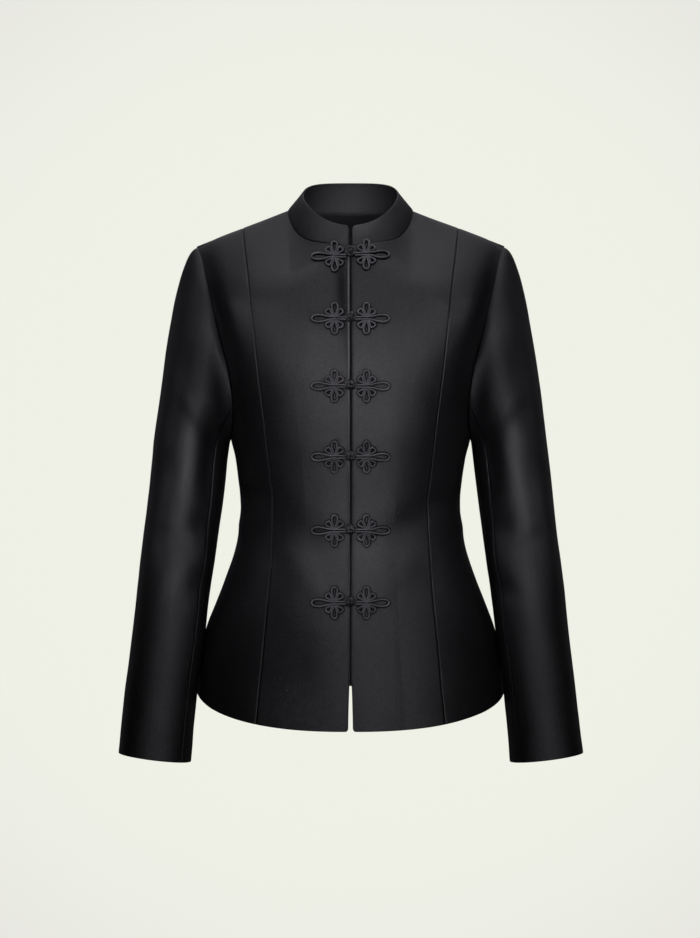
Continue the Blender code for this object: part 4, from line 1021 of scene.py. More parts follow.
def satin_material(name, groups, deep, raised, roughness, slub):
    """A woven satin on the piece's own map."""
    material = bpy.data.materials.new(name)
    material.use_nodes = True
    tree = material.node_tree
    shader = tree.nodes["Principled BSDF"]
    uv = node(tree, "ShaderNodeUVMap", {"uv_map": "cloth"})
    place = node(tree, "ShaderNodeTexCoord")
    woven = placed_group(material, groups.weave, {"Slub": slub})
    # Painted shade in nooks, such as at seams and round the cords
    nook = placed_group(material, groups.nook, {})
    toned = placed_group(material, groups.tone, {"Deep": (*deep, 1.0), "Raised": (*raised, 1.0),
                                          "Roughness": roughness, "Unevenness": 0.10})
    bump = node(tree, "ShaderNodeBump", (), {"Strength": 0.60, "Distance": 0.0003})
    tree.links.new(uv.outputs["UV"], woven.inputs["Map"])
    tree.links.new(place.outputs["Object"], woven.inputs["Place"])
    tree.links.new(place.outputs["Object"], toned.inputs["Place"])
    tree.links.new(woven.outputs["Speckle"], toned.inputs["Speckle"])
    grain = noise(tree, place.outputs["Object"], SATIN_GRAIN, 2.0)
    speckle = maths(tree, "ADD", woven.outputs["Speckle"],
                    maths(tree, "MULTIPLY", grain, SATIN_GRAIN_SHARE))
    tree.links.new(speckle, nook.inputs["Speckle"])
    colour, rough = toned.outputs["Colour"], toned.outputs["Roughness"]
    # A paler colour painted as a highlight beside the over front's fold, and the inner faces'
    # colour, which is also rougher
    for mark, other, duller in (("painted_highlight", PAINTED_HIGHLIGHT_COLOUR, 0.0), ("inner", INNER_COLOUR, 0.2)):
        share = node(tree, "ShaderNodeAttribute", {"attribute_name": mark}).outputs["Fac"]
        blend = node(tree, "ShaderNodeMix", {"data_type": "RGBA"}, {"B": (*other, 1.0)})
        tree.links.new(share, blend.inputs["Factor"])
        tree.links.new(colour, blend.inputs["A"])
        colour = blend.outputs["Result"]
        rough = maths(tree, "ADD", rough, maths(tree, "MULTIPLY", share, duller))
    # Painted shade: the gleam is taken away over the painted shade patches
    painted_shade = node(tree, "ShaderNodeAttribute", {"attribute_name": "painted_shade"}).outputs["Fac"]
    gleam = node(tree, "ShaderNodeMix", {"data_type": "RGBA"}, {"B": (0.0, 0.0, 0.0, 1.0)})
    tree.links.new(painted_shade, gleam.inputs["Factor"])
    tree.links.new(nook.outputs["Gleam"], gleam.inputs["A"])
    tree.links.new(colour, nook.inputs["Colour"])
    tree.links.new(nook.outputs["Colour"], shader.inputs["Base Color"])
    tree.links.new(gleam.outputs["Result"], shader.inputs["Specular Tint"])
    tree.links.new(rough, shader.inputs["Roughness"])
    tree.links.new(woven.outputs["Height"], bump.inputs["Height"])
    tree.links.new(bump.outputs["Normal"], shader.inputs["Normal"])
    return material


# Painted light on the cord: its colour is painted light where its normal points along this
# direction, forwards and a little up, and near black on its flanks as painted shade. The two
# numbers say how squarely it faces there, from painted flank shade to painted top light.
PAINTED_LIGHT_DIRECTION = Vector((-0.22, -0.94, 0.24)).normalized()
PAINTED_SHADE_FROM, PAINTED_LIGHT_TO = 0.66, 0.97    # how squarely the cord faces there, from flank to top
PAINTED_FLANK_SHADE = (0.001, 0.001, 0.001)


def cord_material(name, groups, deep, raised, roughness):
    """Twisted cord with painted light: its colour is painted light where it faces forwards and a
    little up, and painted dark on its flanks, between its strands and where it meets the cloth, as
    painted shade."""
    material = bpy.data.materials.new(name)
    material.use_nodes = True
    tree = material.node_tree
    shader = tree.nodes["Principled BSDF"]
    place = node(tree, "ShaderNodeTexCoord")
    strand = node(tree, "ShaderNodeAttribute", {"attribute_name": "strand"})
    toned = placed_group(material, groups.tone, {"Deep": (*deep, 1.0), "Raised": (*raised, 1.0),
                                                 "Roughness": roughness, "Unevenness": 0.08})
    # Painted shade between the cords and where they meet the cloth
    nook = placed_group(material, groups.nook, {"Reach": 0.0010, "Depth": 1.1})
    tree.links.new(place.outputs["Object"], toned.inputs["Place"])
    fibres = noise(tree, place.outputs["Object"], (3200.0, 3200.0, 3200.0), 2.0)
    relief = maths(tree, "ADD", fibres, maths(tree, "MULTIPLY", strand.outputs["Fac"], 0.4))
    # The strands' wave also darkens the colour between the strands, a painted shade
    tree.links.new(maths(tree, "MULTIPLY", strand.outputs["Fac"], 0.4), toned.inputs["Speckle"])
    bump = node(tree, "ShaderNodeBump", (), {"Strength": 0.35, "Distance": 0.0002})
    tree.links.new(relief, bump.inputs["Height"])
    tree.links.new(bump.outputs["Normal"], shader.inputs["Normal"])
    # Painted light and shade by the direction of the normal: light on top, near black on the
    # flanks
    facing = node(tree, "ShaderNodeVectorMath", {"operation": "DOT_PRODUCT"})
    facing.inputs[1].default_value = PAINTED_LIGHT_DIRECTION
    tree.links.new(place.outputs["Normal"], facing.inputs[0])
    top = node(tree, "ShaderNodeMapRange", {"interpolation_type": "SMOOTHSTEP"},
               {"From Min": PAINTED_SHADE_FROM, "From Max": PAINTED_LIGHT_TO})
    tree.links.new(facing.outputs["Value"], top.inputs["Value"])
    painted_top_and_flank = node(tree, "ShaderNodeMix", {"data_type": "RGBA"}, {"A": (*PAINTED_FLANK_SHADE, 1.0)})
    tree.links.new(top.outputs[0], painted_top_and_flank.inputs["Factor"])
    tree.links.new(toned.outputs["Colour"], painted_top_and_flank.inputs["B"])
    tree.links.new(painted_top_and_flank.outputs["Result"], nook.inputs["Colour"])
    tree.links.new(nook.outputs["Colour"], shader.inputs["Base Color"])
    tree.links.new(nook.outputs["Gleam"], shader.inputs["Specular Tint"])
    tree.links.new(toned.outputs["Roughness"], shader.inputs["Roughness"])
    return material


# ---------------------------------------------------------------- geometry trees

def new_tree(name, inputs):
    """A geometry tree whose inputs are the line to follow, sizes and a material."""
    tree = bpy.data.node_groups.new(name, "GeometryNodeTree")
    tree.interface.new_socket("Line", in_out="INPUT", socket_type="NodeSocketGeometry")
    for label, value in inputs:
        socket = tree.interface.new_socket(label, in_out="INPUT", socket_type=FLOAT)
        socket.default_value = value
    tree.interface.new_socket("Material", in_out="INPUT", socket_type="NodeSocketMaterial")
    tree.interface.new_socket("Geometry", in_out="OUTPUT", socket_type="NodeSocketGeometry")
    return tree, tree.nodes.new("NodeGroupInput"), tree.nodes.new("NodeGroupOutput")


def line_of_points(tree, start, step_name):
    """The input line as a curve with evenly spaced points."""
    curve = tree.nodes.new("GeometryNodeMeshToCurve")
    even = node(tree, "GeometryNodeResampleCurve", {"mode": "LENGTH"})
    tree.links.new(start.outputs["Line"], curve.inputs["Mesh"])
    tree.links.new(curve.outputs["Curve"], even.inputs["Curve"])
    tree.links.new(start.outputs[step_name], even.inputs["Length"])
    return even.outputs["Curve"]


def finish_tree(tree, start, end, geometry):
    """Realizes the instances, gives them their material and shades them smooth."""
    real = tree.nodes.new("GeometryNodeRealizeInstances")
    smooth = tree.nodes.new("GeometryNodeSetShadeSmooth")
    painted = tree.nodes.new("GeometryNodeSetMaterial")
    tree.links.new(geometry, real.inputs["Geometry"])
    tree.links.new(real.outputs["Geometry"], smooth.inputs["Geometry"])
    tree.links.new(smooth.outputs["Geometry"], painted.inputs["Geometry"])
    tree.links.new(start.outputs["Material"], painted.inputs["Material"])
    tree.links.new(painted.outputs["Geometry"], end.inputs["Geometry"])


def cord_tree():
    """A two-strand twisted cord along a line."""
    tree, start, end = new_tree("Twisted cord", [
        ("Radius", CORD_RADIUS), ("Ring step", 0.0005), ("Turn length", 0.0050),
        ("Strand relief", 0.13)])
    line = line_of_points(tree, start, "Ring step")
    parameter = tree.nodes.new("GeometryNodeSplineParameter")
    turns = maths(tree, "DIVIDE", parameter.outputs["Length"], start.outputs["Turn length"])
    tilt = tree.nodes.new("GeometryNodeSetCurveTilt")
    tree.links.new(line, tilt.inputs["Curve"])
    tree.links.new(maths(tree, "MULTIPLY", turns, 2 * math.pi), tilt.inputs["Tilt"])
    ring = node(tree, "GeometryNodeCurvePrimitiveCircle", (), {"Resolution": 10})
    tree.links.new(start.outputs["Radius"], ring.inputs["Radius"])
    around = tree.nodes.new("GeometryNodeSplineParameter")
    wave = maths(tree, "COSINE", maths(tree, "MULTIPLY", around.outputs["Factor"], 4 * math.pi), 0)
    kept = node(tree, "GeometryNodeStoreNamedAttribute",
                {"data_type": "FLOAT", "domain": "POINT"}, {"Name": "strand"})
    tree.links.new(ring.outputs["Curve"], kept.inputs["Geometry"])
    tree.links.new(wave, kept.inputs["Value"])
    scale = maths(tree, "MULTIPLY", wave, start.outputs["Strand relief"])
    position = tree.nodes.new("GeometryNodeInputPosition")
    offset = node(tree, "ShaderNodeVectorMath", {"operation": "SCALE"})
    tree.links.new(position.outputs["Position"], offset.inputs[0])
    tree.links.new(scale, offset.inputs["Scale"])
    lobed = tree.nodes.new("GeometryNodeSetPosition")
    tree.links.new(kept.outputs["Geometry"], lobed.inputs["Geometry"])
    tree.links.new(offset.outputs[0], lobed.inputs["Offset"])
    tube = node(tree, "GeometryNodeCurveToMesh", (), {"Fill Caps": True})
    tree.links.new(tilt.outputs["Curve"], tube.inputs["Curve"])
    tree.links.new(lobed.outputs["Geometry"], tube.inputs["Profile Curve"])
    finish_tree(tree, start, end, tube.outputs["Mesh"])
    return tree


def stitch_tree():
    """Short stitches set end to end along a line."""
    tree, start, end = new_tree("Row of stitches", [
        ("Pitch", 0.0026), ("Stitch length", 0.0020), ("Thread radius", 0.00022)])
    line = line_of_points(tree, start, "Pitch")
    grain = node(tree, "GeometryNodeMeshUVSphere", (), {"Segments": 6, "Rings": 5})
    tree.links.new(start.outputs["Thread radius"], grain.inputs["Radius"])
    ratio = maths(tree, "DIVIDE", start.outputs["Stitch length"], start.outputs["Thread radius"])
    size = tree.nodes.new("ShaderNodeCombineXYZ")
    size.inputs["X"].default_value = 1.0
    size.inputs["Y"].default_value = 1.0
    tree.links.new(maths(tree, "MULTIPLY", ratio, 0.5), size.inputs["Z"])
    tangent = tree.nodes.new("GeometryNodeInputTangent")
    turned = node(tree, "FunctionNodeAlignRotationToVector", {"axis": "Z"})
    tree.links.new(tangent.outputs["Tangent"], turned.inputs["Vector"])
    copies = tree.nodes.new("GeometryNodeInstanceOnPoints")
    tree.links.new(line, copies.inputs["Points"])
    tree.links.new(grain.outputs["Mesh"], copies.inputs["Instance"])
    tree.links.new(turned.outputs["Rotation"], copies.inputs["Rotation"])
    tree.links.new(size.outputs["Vector"], copies.inputs["Scale"])
    finish_tree(tree, start, end, copies.outputs["Instances"])
    return tree


def along_lines(name, lines, tree, values, material):
    """Runs a geometry tree along lines of points and keeps the result as a plain mesh.
    Each line is (points, closed)."""
    vertices, edges = [], []
    for points, closed in lines:
        first = len(vertices)
        vertices += [tuple(point) for point in points]
        edges += [(k, k + 1) for k in range(first, len(vertices) - 1)]
        if closed:
            edges.append((len(vertices) - 1, first))
    guide_mesh = bpy.data.meshes.new(name)
    guide_mesh.from_pydata(vertices, edges, [])
    guide = bpy.data.objects.new(name, guide_mesh)
    bpy.context.scene.collection.objects.link(guide)
    modifier = guide.modifiers.new("make", "NODES")
    modifier.node_group = tree
    for item in tree.interface.items_tree:
        if item.in_out == "INPUT" and item.name in values:
            modifier[item.identifier] = values[item.name]
        elif item.in_out == "INPUT" and item.name == "Material":
            modifier[item.identifier] = material
    depsgraph = bpy.context.evaluated_depsgraph_get()
    mesh = bpy.data.meshes.new_from_object(guide.evaluated_get(depsgraph))
    bpy.data.objects.remove(guide, do_unlink=True)
    bm = bmesh.new()
    bm.from_mesh(mesh)
    bmesh.ops.remove_doubles(bm, verts=bm.verts, dist=0.00001)
    bmesh.ops.recalc_face_normals(bm, faces=bm.faces)
    bm.to_mesh(mesh)
    bm.free()
    mesh.name = name
    piece = bpy.data.objects.new(name, mesh)
    bpy.context.scene.collection.objects.link(piece)
    return piece


# ---------------------------------------------------------------- the jacket's cloth

CARRIED_BY = {"front_centre": "back_centre", "back_centre": "collar",
              "front_side": "front_centre", "back_side": "back_centre"}


def panel_edges(label, side_name):
    """What each edge of a body panel does to its cloth. Left is the edge nearer the centre."""
    edges = {"top": PLAIN_SEAM, "bottom": HEM_EDGE, "right": PLAIN_SEAM, "left": PLAIN_SEAM}
    if label == "front_centre":
        edges["left"] = FRONT_FOLD if side_name == "left" else OVER_FOLD
    if label.endswith("side"):
        edges["left"] = ROLLED_SEAM
    return edges


def build_cloth(satin, inside):
    """The body, sleeves, collar and facing. Returns the outer grids the frogs lie on."""
    armholes = {face: Armhole(face) for face in (-1, 1)}
    grids = {}
    for face, label in ((-1, "front"), (1, "back")):
        halves = (("centre", centre_panel(face)), ("side", side_panel(face, armholes[face])))
        for part, points in halves:
            for side, side_name in SIDE_NAMES.items():
                grids[f"{label}_{part}_{side_name}"] = points * np.array((side, 1.0, 1.0))
    normals = {name: grid_normals(points, (0.0, 0.0, points[points.shape[0] // 2, 0, 2]))
               for name, points in grids.items()}
    share_seam_normals(grids, normals)
    for name, points in grids.items():
        folds = FRONT_FOLDS if name.startswith("front") else BACK_FOLDS
        lift = fold_lift(folds, points) + unevenness(points)
        grids[name] = points + normals[name] * lift[..., None]
    for name, points in grids.items():
        label, side_name = name.rsplit("_", 1)
        covered = 0
        if label.endswith("side"):
            covered = sum(place <= 1.0 for place in row_places())
        piece = cloth_shell(f"{name}_satin", points, normals[name], CLOTH_WALL,
                            panel_edges(label, side_name), satin, covered)
        holder = CARRIED_BY[label]
        holder = holder if holder == "collar" else f"{holder}_{side_name}"
        declare_cloth(piece, name)
    build_sleeves(grids, satin)
    collar = build_collar(satin)
    build_facing(grids, normals, inside)
    return grids, normals, collar


def declare_cloth(piece, replaced):
    """Hangs the piece on the root body and hides the part that it stands for."""
    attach(piece, "root")
    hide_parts(replaced)


def rows_free(points):
    """How free each point is of the armhole's seam, from 0 on it to 1 below it."""
    down = lengths_along(points, 0)
    return np.clip(down / FREE_LENGTH, 0.0, 1.0) ** 2


def build_sleeves(grids, satin):
    spans = (("sleeve_top", BACK_SLEEVE_SEAM, FRONT_SLEEVE_SEAM + 360.0),
             ("sleeve_under", FRONT_SLEEVE_SEAM, BACK_SLEEVE_SEAM))
    for label, start, end in spans:
        for side, side_name in SIDE_NAMES.items():
            mirror = np.array((side, 1.0, 1.0))
            left = sleeve_piece(armhole_edges(grids, side, side_name), start, end)
            middle = left[left.shape[0] // 2]
            heart = (0.205, float(middle[:, 1].mean()), float(middle[:, 2].mean()))
            points = left * mirror
            normals = grid_normals(left, heart) * mirror
            points = points + normals * (unevenness(points) * rows_free(points))[..., None]
            edges = dict(top=ARMHOLE_SEAM, bottom=HEM_EDGE, left=PLAIN_SEAM, right=PLAIN_SEAM)
            name = f"{label}_{side_name}"
            piece = cloth_shell(f"{name}_satin", points, normals, CLOTH_WALL, edges, satin)
            declare_cloth(piece, name)


def build_collar(satin):
    points = collar_points()
    normals = grid_normals(points, (0.0, 0.0, 0.0))
    normals[:, :, 2] *= 0.6
    normals /= np.linalg.norm(normals, axis=2, keepdims=True)
    rim = HEM_EDGE._replace(rounding=COLLAR_WALL / 2, allowance=0.0)
    edges = {"top": rim, "bottom": PLAIN_SEAM._replace(allowance=0.0), "left": rim, "right": rim}
    piece = cloth_shell("collar_satin", points, normals, COLLAR_WALL, edges, satin)
    declare_cloth(piece, "collar")
    return points, normals


def build_facing(grids, normals, inside):
    """The facing inside the back of the neck, on the inner side of the back panels."""
    rows = [k for k, place in enumerate(row_places()) if place <= FACING_SHARE / ARM_STEPS + 1e-9]
    columns = len(neck_columns())
    halves = []
    for side_name in SIDE_NAMES.values():
        name = f"back_centre_{side_name}"
        outward = normals[name][:len(rows), :columns]
        depth = CLOTH_WALL + ALLOWANCE_THICKNESS + SEAM_GAP
        halves.append((grids[name][:len(rows), :columns] - outward * depth, outward))
    (left, left_out), (right, right_out) = halves
    points = np.concatenate((left[:, :0:-1], left[:, :1], right[:, 1:]), axis=1)
    outward = np.concatenate((left_out[:, :0:-1], left_out[:, :1], right_out[:, 1:]), axis=1)
    edge = HEM_EDGE._replace(rounding=FACING_WALL / 2, allowance=0.0)
    edges = {side: edge for side in ("top", "bottom", "left", "right")}
    piece = cloth_shell("back_neck_facing_satin", points, outward, FACING_WALL, edges, inside)
    declare_cloth(piece, "back_neck_facing")


# ---------------------------------------------------------------- frogs and knots

class Front:
    """Finds points on the outer face of the fronts and collar, straight in from before."""

    def __init__(self, grids):
        corners, faces = [], []
        for points in grids:
            rows, columns = points.shape[:2]
            first = len(corners)
            corners += [tuple(p) for p in points.reshape(-1, 3)]
            for i in range(rows - 1):
                for j in range(columns - 1):
                    a = first + i * columns + j
                    faces.append((a, a + columns, a + columns + 1, a + 1))
        self.tree = BVHTree.FromPolygons(corners, faces)

    def place(self, across, height, lift):
        """A point on the cloth, moved out by lift."""
        where, normal, _, _ = self.tree.ray_cast(Vector((across, -1.0, height)),
                                                 Vector((0.0, 1.0, 0.0)))
        if normal.y > 0:
            normal = -normal
        return np.array(where + normal * lift)


# Length and half width of each loop along the middle of its cord, and how full its end is
Petal = namedtuple("Petal", "turn length half_width fullness")
LONG_PETAL = Petal(0.0, 0.0266, 0.0042, 1.5)
UPPER_PETALS = (
    Petal(130.0, 0.0134, 0.0034, 5.0), Petal(90.0, 0.0182, 0.0036, 2.4),
    Petal(48.0, 0.0134, 0.0034, 5.0),
)
PETAL_STEPS = 30
ARM_CORD_OFFSET = 0.0014         # from the middle of the arm to each of its two cords
OVERLAP_LIFT = 0.0011            # how far a cord rises where it crosses others


def petal_line(petal, start, end):
    """Points along a loop, from start to end degrees of its course, (outward, up)."""
    widest = (petal.fullness + 1) / (petal.fullness + 2)
    full = 2 * widest ** ((petal.fullness + 1) / 2) * math.sqrt(1 - widest)
    turn = math.radians(petal.turn)
    line = []
    for i in range(PETAL_STEPS + 1):
        step = math.radians(start + (end - start) * i / PETAL_STEPS)
        along = petal.length * (1 - math.cos(step)) / 2
        off = math.sin(step) * abs(math.sin(step / 2)) ** petal.fullness
        off *= petal.half_width / full
        line.append((along * math.cos(turn) - off * math.sin(turn),
                     along * math.sin(turn) + off * math.cos(turn)))
    return line


def flower_lines():
    """The lines of cord in a flower, as (outward, up, lift) from its centre."""
    arm_end = FLOWER_REACH - KNOT_LOOP_RADIUS - CORD_RADIUS * 0.6
    long_loop = petal_line(LONG_PETAL, 62.0, 298.0)
    arm = [(-arm_end + (arm_end + 0.006) * i / 8, ARM_CORD_OFFSET) for i in range(9)]
    hairpin = arm + long_loop + [(x, -y) for x, y in arm[::-1]]
    lines = [[(x, y, OVERLAP_LIFT * math.exp(-((x - 0.001) / 0.007) ** 2)) for x, y in hairpin]]
    for mirror in (1.0, -1.0):
        line = []
        for number, petal in enumerate(UPPER_PETALS):
            for x, y in petal_line(petal, 338.0, 22.0):
                nearness = math.exp(-(math.hypot(x, y) / 0.0055) ** 2)
                line.append((x, y * mirror, 0.0004 * nearness * (number - 1)))
        lines.append(line)
    return lines


def smoothed(points, times):
    """A line of points with its small kinks evened out, its ends kept."""
    points = np.array(points)
    for _ in range(times):
        points[1:-1] = (points[:-2] + points[1:-1] * 2 + points[2:]) / 4
    return points


def frog_lines(front, side, frog):
    lines = []
    drop = frog.left_drop if side > 0 else frog.right_drop
    for line in flower_lines():
        placed = [front.place(side * (FLOWER_REACH + x), frog.height - drop + up,
                              CORD_RADIUS * 0.95 + frog.extra_lift + lift)
                  for x, up, lift in line]
        lines.append((smoothed(placed, 3), False))
    return lines


KNOT_BIGHTS = 4
KNOT_REACH = math.radians(60.0)
KNOT_CORD = 0.00104
KNOT_STEPS = 150


def knot_lines(front, height):
    """A ball of interlaced cord, and the loop round its neck."""
    sides = [front.place(side * 0.002, height, 0.0) for side in (1, -1)]
    lifted = [front.place(side * 0.002, height, 0.01) for side in (1, -1)]
    base = (sides[0] + sides[1]) / 2
    base[0] = 0.0
    out = unit(((lifted[0] + lifted[1]) / 2 - base) * np.array((0.0, 1.0, 1.0)))
    across = np.array((1.0, 0.0, 0.0))
    up = np.cross(out, across)
    radius = KNOT_RADIUS - KNOT_CORD
    ball = []
    for i in range(KNOT_STEPS):
        t = 2 * math.pi * i / KNOT_STEPS
        round_angle, tip = 3 * t + 0.3, KNOT_REACH * math.cos(KNOT_BIGHTS * t)
        reach = radius + 0.0007 * math.sin(2 * KNOT_BIGHTS * t)
        ball.append(base + out * (KNOT_RADIUS + reach * math.sin(tip))
                    + (across * math.cos(round_angle) + up * math.sin(round_angle))
                    * reach * math.cos(tip))
    loop = []
    for i in range(28):
        t = 2 * math.pi * i / 28
        loop.append(base + out * (CORD_RADIUS + 0.0008 * (1 + math.cos(2 * t)))
                    + (across * math.cos(t) * 1.12 + up * math.sin(t)) * KNOT_LOOP_RADIUS)
    return [(ball, True), (loop, True)]


def build_frogs(front, tree, material):
    for number, frog in enumerate(FROGS, 1):
        for side, side_name in SIDE_NAMES.items():
            name = f"frog_{number}_{side_name}"
            piece = along_lines(f"{name}_cord", frog_lines(front, side, frog), tree, {}, material)
            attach(piece, "root")
            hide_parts(name)
        values = {"Radius": KNOT_CORD, "Turn length": 0.0042}
        lines = knot_lines(front, frog.height)
        piece = along_lines(f"knot_{number}_cord", lines, tree, values, material)
        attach(piece, "root")
        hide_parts(f"knot_{number}")


def build_collar_stitches(collar, tree, material):
    """The line of stitches inside the collar, just above the neck seam."""
    points, normals = collar
    height = 0.0014
    down = lengths_along(points, 0)
    line = []
    for j in range(8, points.shape[1] - 8):
        from_seam = down[-1, j] - down[:, j]
        i = int(np.argmin(abs(from_seam - height)))
        line.append(points[i, j] - normals[i, j] * (COLLAR_WALL + 0.0001))
    piece = along_lines("collar_stitches", [(smoothed(line, 4), False)], tree, {}, material)
    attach(piece, "root")


# ---------------------------------------------------------------- studio

CAMERA_DISTANCE = 3.0
CAMERA_HEIGHT = -0.3120
CAMERA_ACROSS = -0.0006
CAMERA_LENS = 95.9
FLOOR_HEIGHT = -1.38
FLOOR_RADIUS = 2.4
# PALE is the backdrop's painted pool of light behind the jacket; PALE_EDGE is the backdrop further
# out and the floor
PALE = (0.866, 0.875, 0.791)
PALE_EDGE = (0.790, 0.790, 0.745)


def build_camera():
    data = bpy.data.cameras.new("camera")
    data.lens = CAMERA_LENS
    data.sensor_width = 36.0
    data.clip_end = 50.0
    camera = bpy.data.objects.new("camera", data)
    camera.location = (CAMERA_ACROSS, -CAMERA_DISTANCE, CAMERA_HEIGHT)
    camera.rotation_euler = (math.pi / 2, 0.0, 0.0)
    bpy.context.scene.collection.objects.link(camera)
    bpy.context.scene.camera = camera


def cone(tree, direction, centre, inner, outer):
    """A soft round patch of sky: 1 within inner degrees of a direction, 0 past outer."""
    dot = node(tree, "ShaderNodeVectorMath", {"operation": "DOT_PRODUCT"})
    dot.inputs[1].default_value = Vector(centre).normalized()
    tree.links.new(direction, dot.inputs[0])
    ramp = node(tree, "ShaderNodeMapRange", {"interpolation_type": "SMOOTHSTEP"},
                {"From Min": math.cos(math.radians(outer)),
                 "From Max": math.cos(math.radians(inner))})
    tree.links.new(dot.outputs["Value"], ramp.inputs["Value"])
    return ramp.outputs[0]


# Soft boxes far from the jacket: direction, full and last degrees, strength
SoftBox = namedtuple("SoftBox", "direction inner outer strength")
SOFT_BOXES = (
    SoftBox((0.14, -1.0, -0.05), 8.0, 38.0, 0.58),
    SoftBox((0.42, -1.0, -0.05), 8.0, 38.0, 0.12),
    SoftBox((0.08, -0.85, 0.55), 10.0, 38.0, 0.18),
    SoftBox((0.05, -0.45, 0.95), 14.0, 50.0, 0.45),
    SoftBox((0.0, 0.35, 1.0), 10.0, 50.0, 0.48),
    SoftBox((1.0, 1.0, 0.25), 4.0, 26.0, 0.09),
    SoftBox((-1.0, 1.0, 0.25), 4.0, 26.0, 0.09),
    SoftBox((0.0, 1.0, 0.75), 6.0, 30.0, 0.20),
)
ROOM_LIGHT = 0.004
STUDIO_TINT = (1.0, 0.975, 1.06)

# Spot lamps near the jacket, so that their light fades down it
Lamp = namedtuple("Lamp", "name place target radius spread power")
LAMPS = (
    Lamp("chest", (0.0, -1.50, 0.40), (0.0, 0.03, 0.0), 0.50, 10.0, 460.0),
    Lamp("middle_left", (0.32, -1.50, -0.50), (0.03, 0.0, -0.22), 0.40, 11.0, 130.0),
    Lamp("middle_right", (-0.30, -1.50, -0.50), (-0.03, 0.0, -0.18), 0.40, 9.0, 125.0),
    Lamp("side_left", (1.45, -0.85, 0.50), (0.124, 0.0, -0.090), 0.35, 7.0, 230.0),
    Lamp("side_right", (-1.45, -0.85, 0.50), (-0.124, 0.0, -0.090), 0.35, 7.0, 230.0),
    Lamp("collar", (0.05, -0.45, 1.40), (0.0, -0.045, 0.0), 0.30, 7.0, 170.0),
    Lamp("collar_left", (0.90, -0.50, 1.00), (0.045, -0.04, -0.015), 0.30, 5.0, 90.0),
    Lamp("collar_right", (-0.90, -0.50, 1.00), (-0.045, -0.04, -0.015), 0.30, 5.0, 90.0),
)


def build_lamps():
    for lamp in LAMPS:
        data = bpy.data.lights.new(lamp.name, "SPOT")
        data.shadow_soft_size = lamp.radius
        data.spot_size = math.radians(lamp.spread)
        data.spot_blend = 1.0
        data.energy = lamp.power
        data.color = STUDIO_TINT
        light = bpy.data.objects.new(lamp.name, data)
        light.location = lamp.place
        aim = Vector(lamp.target) - Vector(lamp.place)
        light.rotation_euler = aim.to_track_quat("-Z", "Y").to_euler()
        light.visible_camera = False
        bpy.context.scene.collection.objects.link(light)


def build_world():
    """A pale backdrop to the camera, and soft boxes in a dim room to everything else."""
    world = bpy.data.worlds.new("studio")
    bpy.context.scene.world = world
    world.use_nodes = True
    tree = world.node_tree
    tree.nodes.clear()
    where = tree.nodes.new("ShaderNodeTexCoord")
    direction = where.outputs["Generated"]
    light = ROOM_LIGHT
    for box in SOFT_BOXES:
        patch = cone(tree, direction, box.direction, box.inner, box.outer)
        light = maths(tree, "ADD", maths(tree, "MULTIPLY", patch, box.strength), light)
    lamp = node(tree, "ShaderNodeBackground", (), {"Color": (*STUDIO_TINT, 1.0)})
    tree.links.new(light, lamp.inputs["Strength"])
    backdrop = tree.nodes.new("ShaderNodeBackground")
    # Painted pool of light: the backdrop is paler straight behind the jacket and greyer further
    # out
    shade = node(tree, "ShaderNodeMix", {"data_type": "RGBA"})
    shade.inputs["A"].default_value = (*PALE_EDGE, 1.0)
    shade.inputs["B"].default_value = (*PALE, 1.0)
    tree.links.new(cone(tree, direction, (0.0, 1.0, 0.0), 7.0, 15.0), shade.inputs["Factor"])
    tree.links.new(shade.outputs["Result"], backdrop.inputs["Color"])
    path = tree.nodes.new("ShaderNodeLightPath")
    mix = tree.nodes.new("ShaderNodeMixShader")
    out = tree.nodes.new("ShaderNodeOutputWorld")
    tree.links.new(path.outputs["Is Camera Ray"], mix.inputs[0])
    tree.links.new(lamp.outputs[0], mix.inputs[1])
    tree.links.new(backdrop.outputs[0], mix.inputs[2])
    tree.links.new(mix.outputs[0], out.inputs["Surface"])


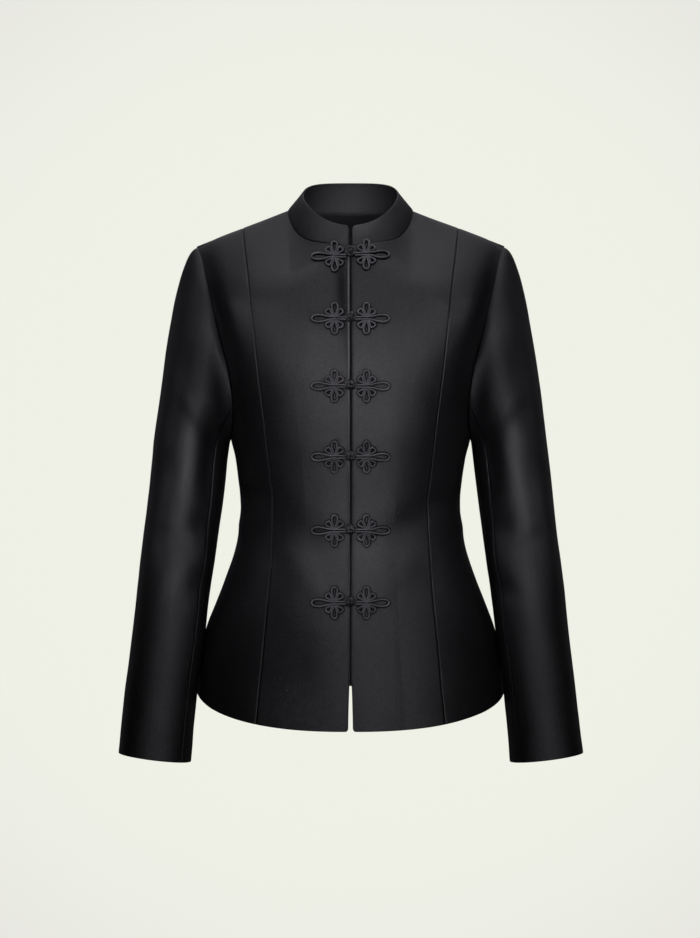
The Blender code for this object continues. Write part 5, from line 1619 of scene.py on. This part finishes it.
def build_floor():
    """A pale floor that melts into the backdrop."""
    material = bpy.data.materials.new("floor")
    material.use_nodes = True
    tree = material.node_tree
    tree.nodes.clear()
    pale = node(tree, "ShaderNodeEmission", (), {"Color": (*PALE_EDGE, 1.0)})
    dim = node(tree, "ShaderNodeBsdfDiffuse", (), {"Color": (0.25, 0.25, 0.25, 1.0)})
    path = tree.nodes.new("ShaderNodeLightPath")
    mix = tree.nodes.new("ShaderNodeMixShader")
    out = tree.nodes.new("ShaderNodeOutputMaterial")
    tree.links.new(path.outputs["Is Camera Ray"], mix.inputs[0])
    tree.links.new(dim.outputs[0], mix.inputs[1])
    tree.links.new(pale.outputs[0], mix.inputs[2])
    tree.links.new(mix.outputs[0], out.inputs["Surface"])
    mesh = bpy.data.meshes.new("floor")
    bm = bmesh.new()
    bmesh.ops.create_circle(bm, cap_ends=True, segments=96, radius=FLOOR_RADIUS)
    bmesh.ops.translate(bm, verts=bm.verts, vec=(0.0, 0.0, FLOOR_HEIGHT))
    bm.to_mesh(mesh)
    bm.free()
    mesh.materials.append(material)
    floor = bpy.data.objects.new("floor", mesh)
    bpy.context.scene.collection.objects.link(floor)


# ---------------------------------------------------------------- putting it together

def main():
    bpy.context.scene.view_settings.view_transform = "Standard"
    build_camera()
    build_world()
    build_lamps()
    build_floor()
    groups = Groups(satin_weave_group(), cloth_tone_group(), painted_nook_shade_group())
    satin = satin_material("black_satin", groups, (0.0035, 0.0036, 0.0040),
                           (0.0075, 0.0075, 0.0082), 0.37, 0.35)
    # The facing's satin is painted paler than the outer satin, as painted light inside the back of
    # the neck
    inside = satin_material("facing_satin", groups, (0.0120, 0.0120, 0.0130),
                            (0.0260, 0.0260, 0.0280), 0.56, 0.45)
    # The cord's colours are far paler than the satin, a painted highlight on the top of the black
    # cord
    cord = cord_material("cord", groups, (0.0640, 0.0627, 0.0674), (0.2600, 0.2550, 0.2720), 0.42)
    grids, normals, collar = build_cloth(satin, inside)
    fronts = [grids[f"front_centre_{side_name}"] for side_name in SIDE_NAMES.values()]
    front = Front(fronts + [collar[0]])
    build_frogs(front, cord_tree(), cord)
    build_collar_stitches(collar, stitch_tree(), cord)


main()
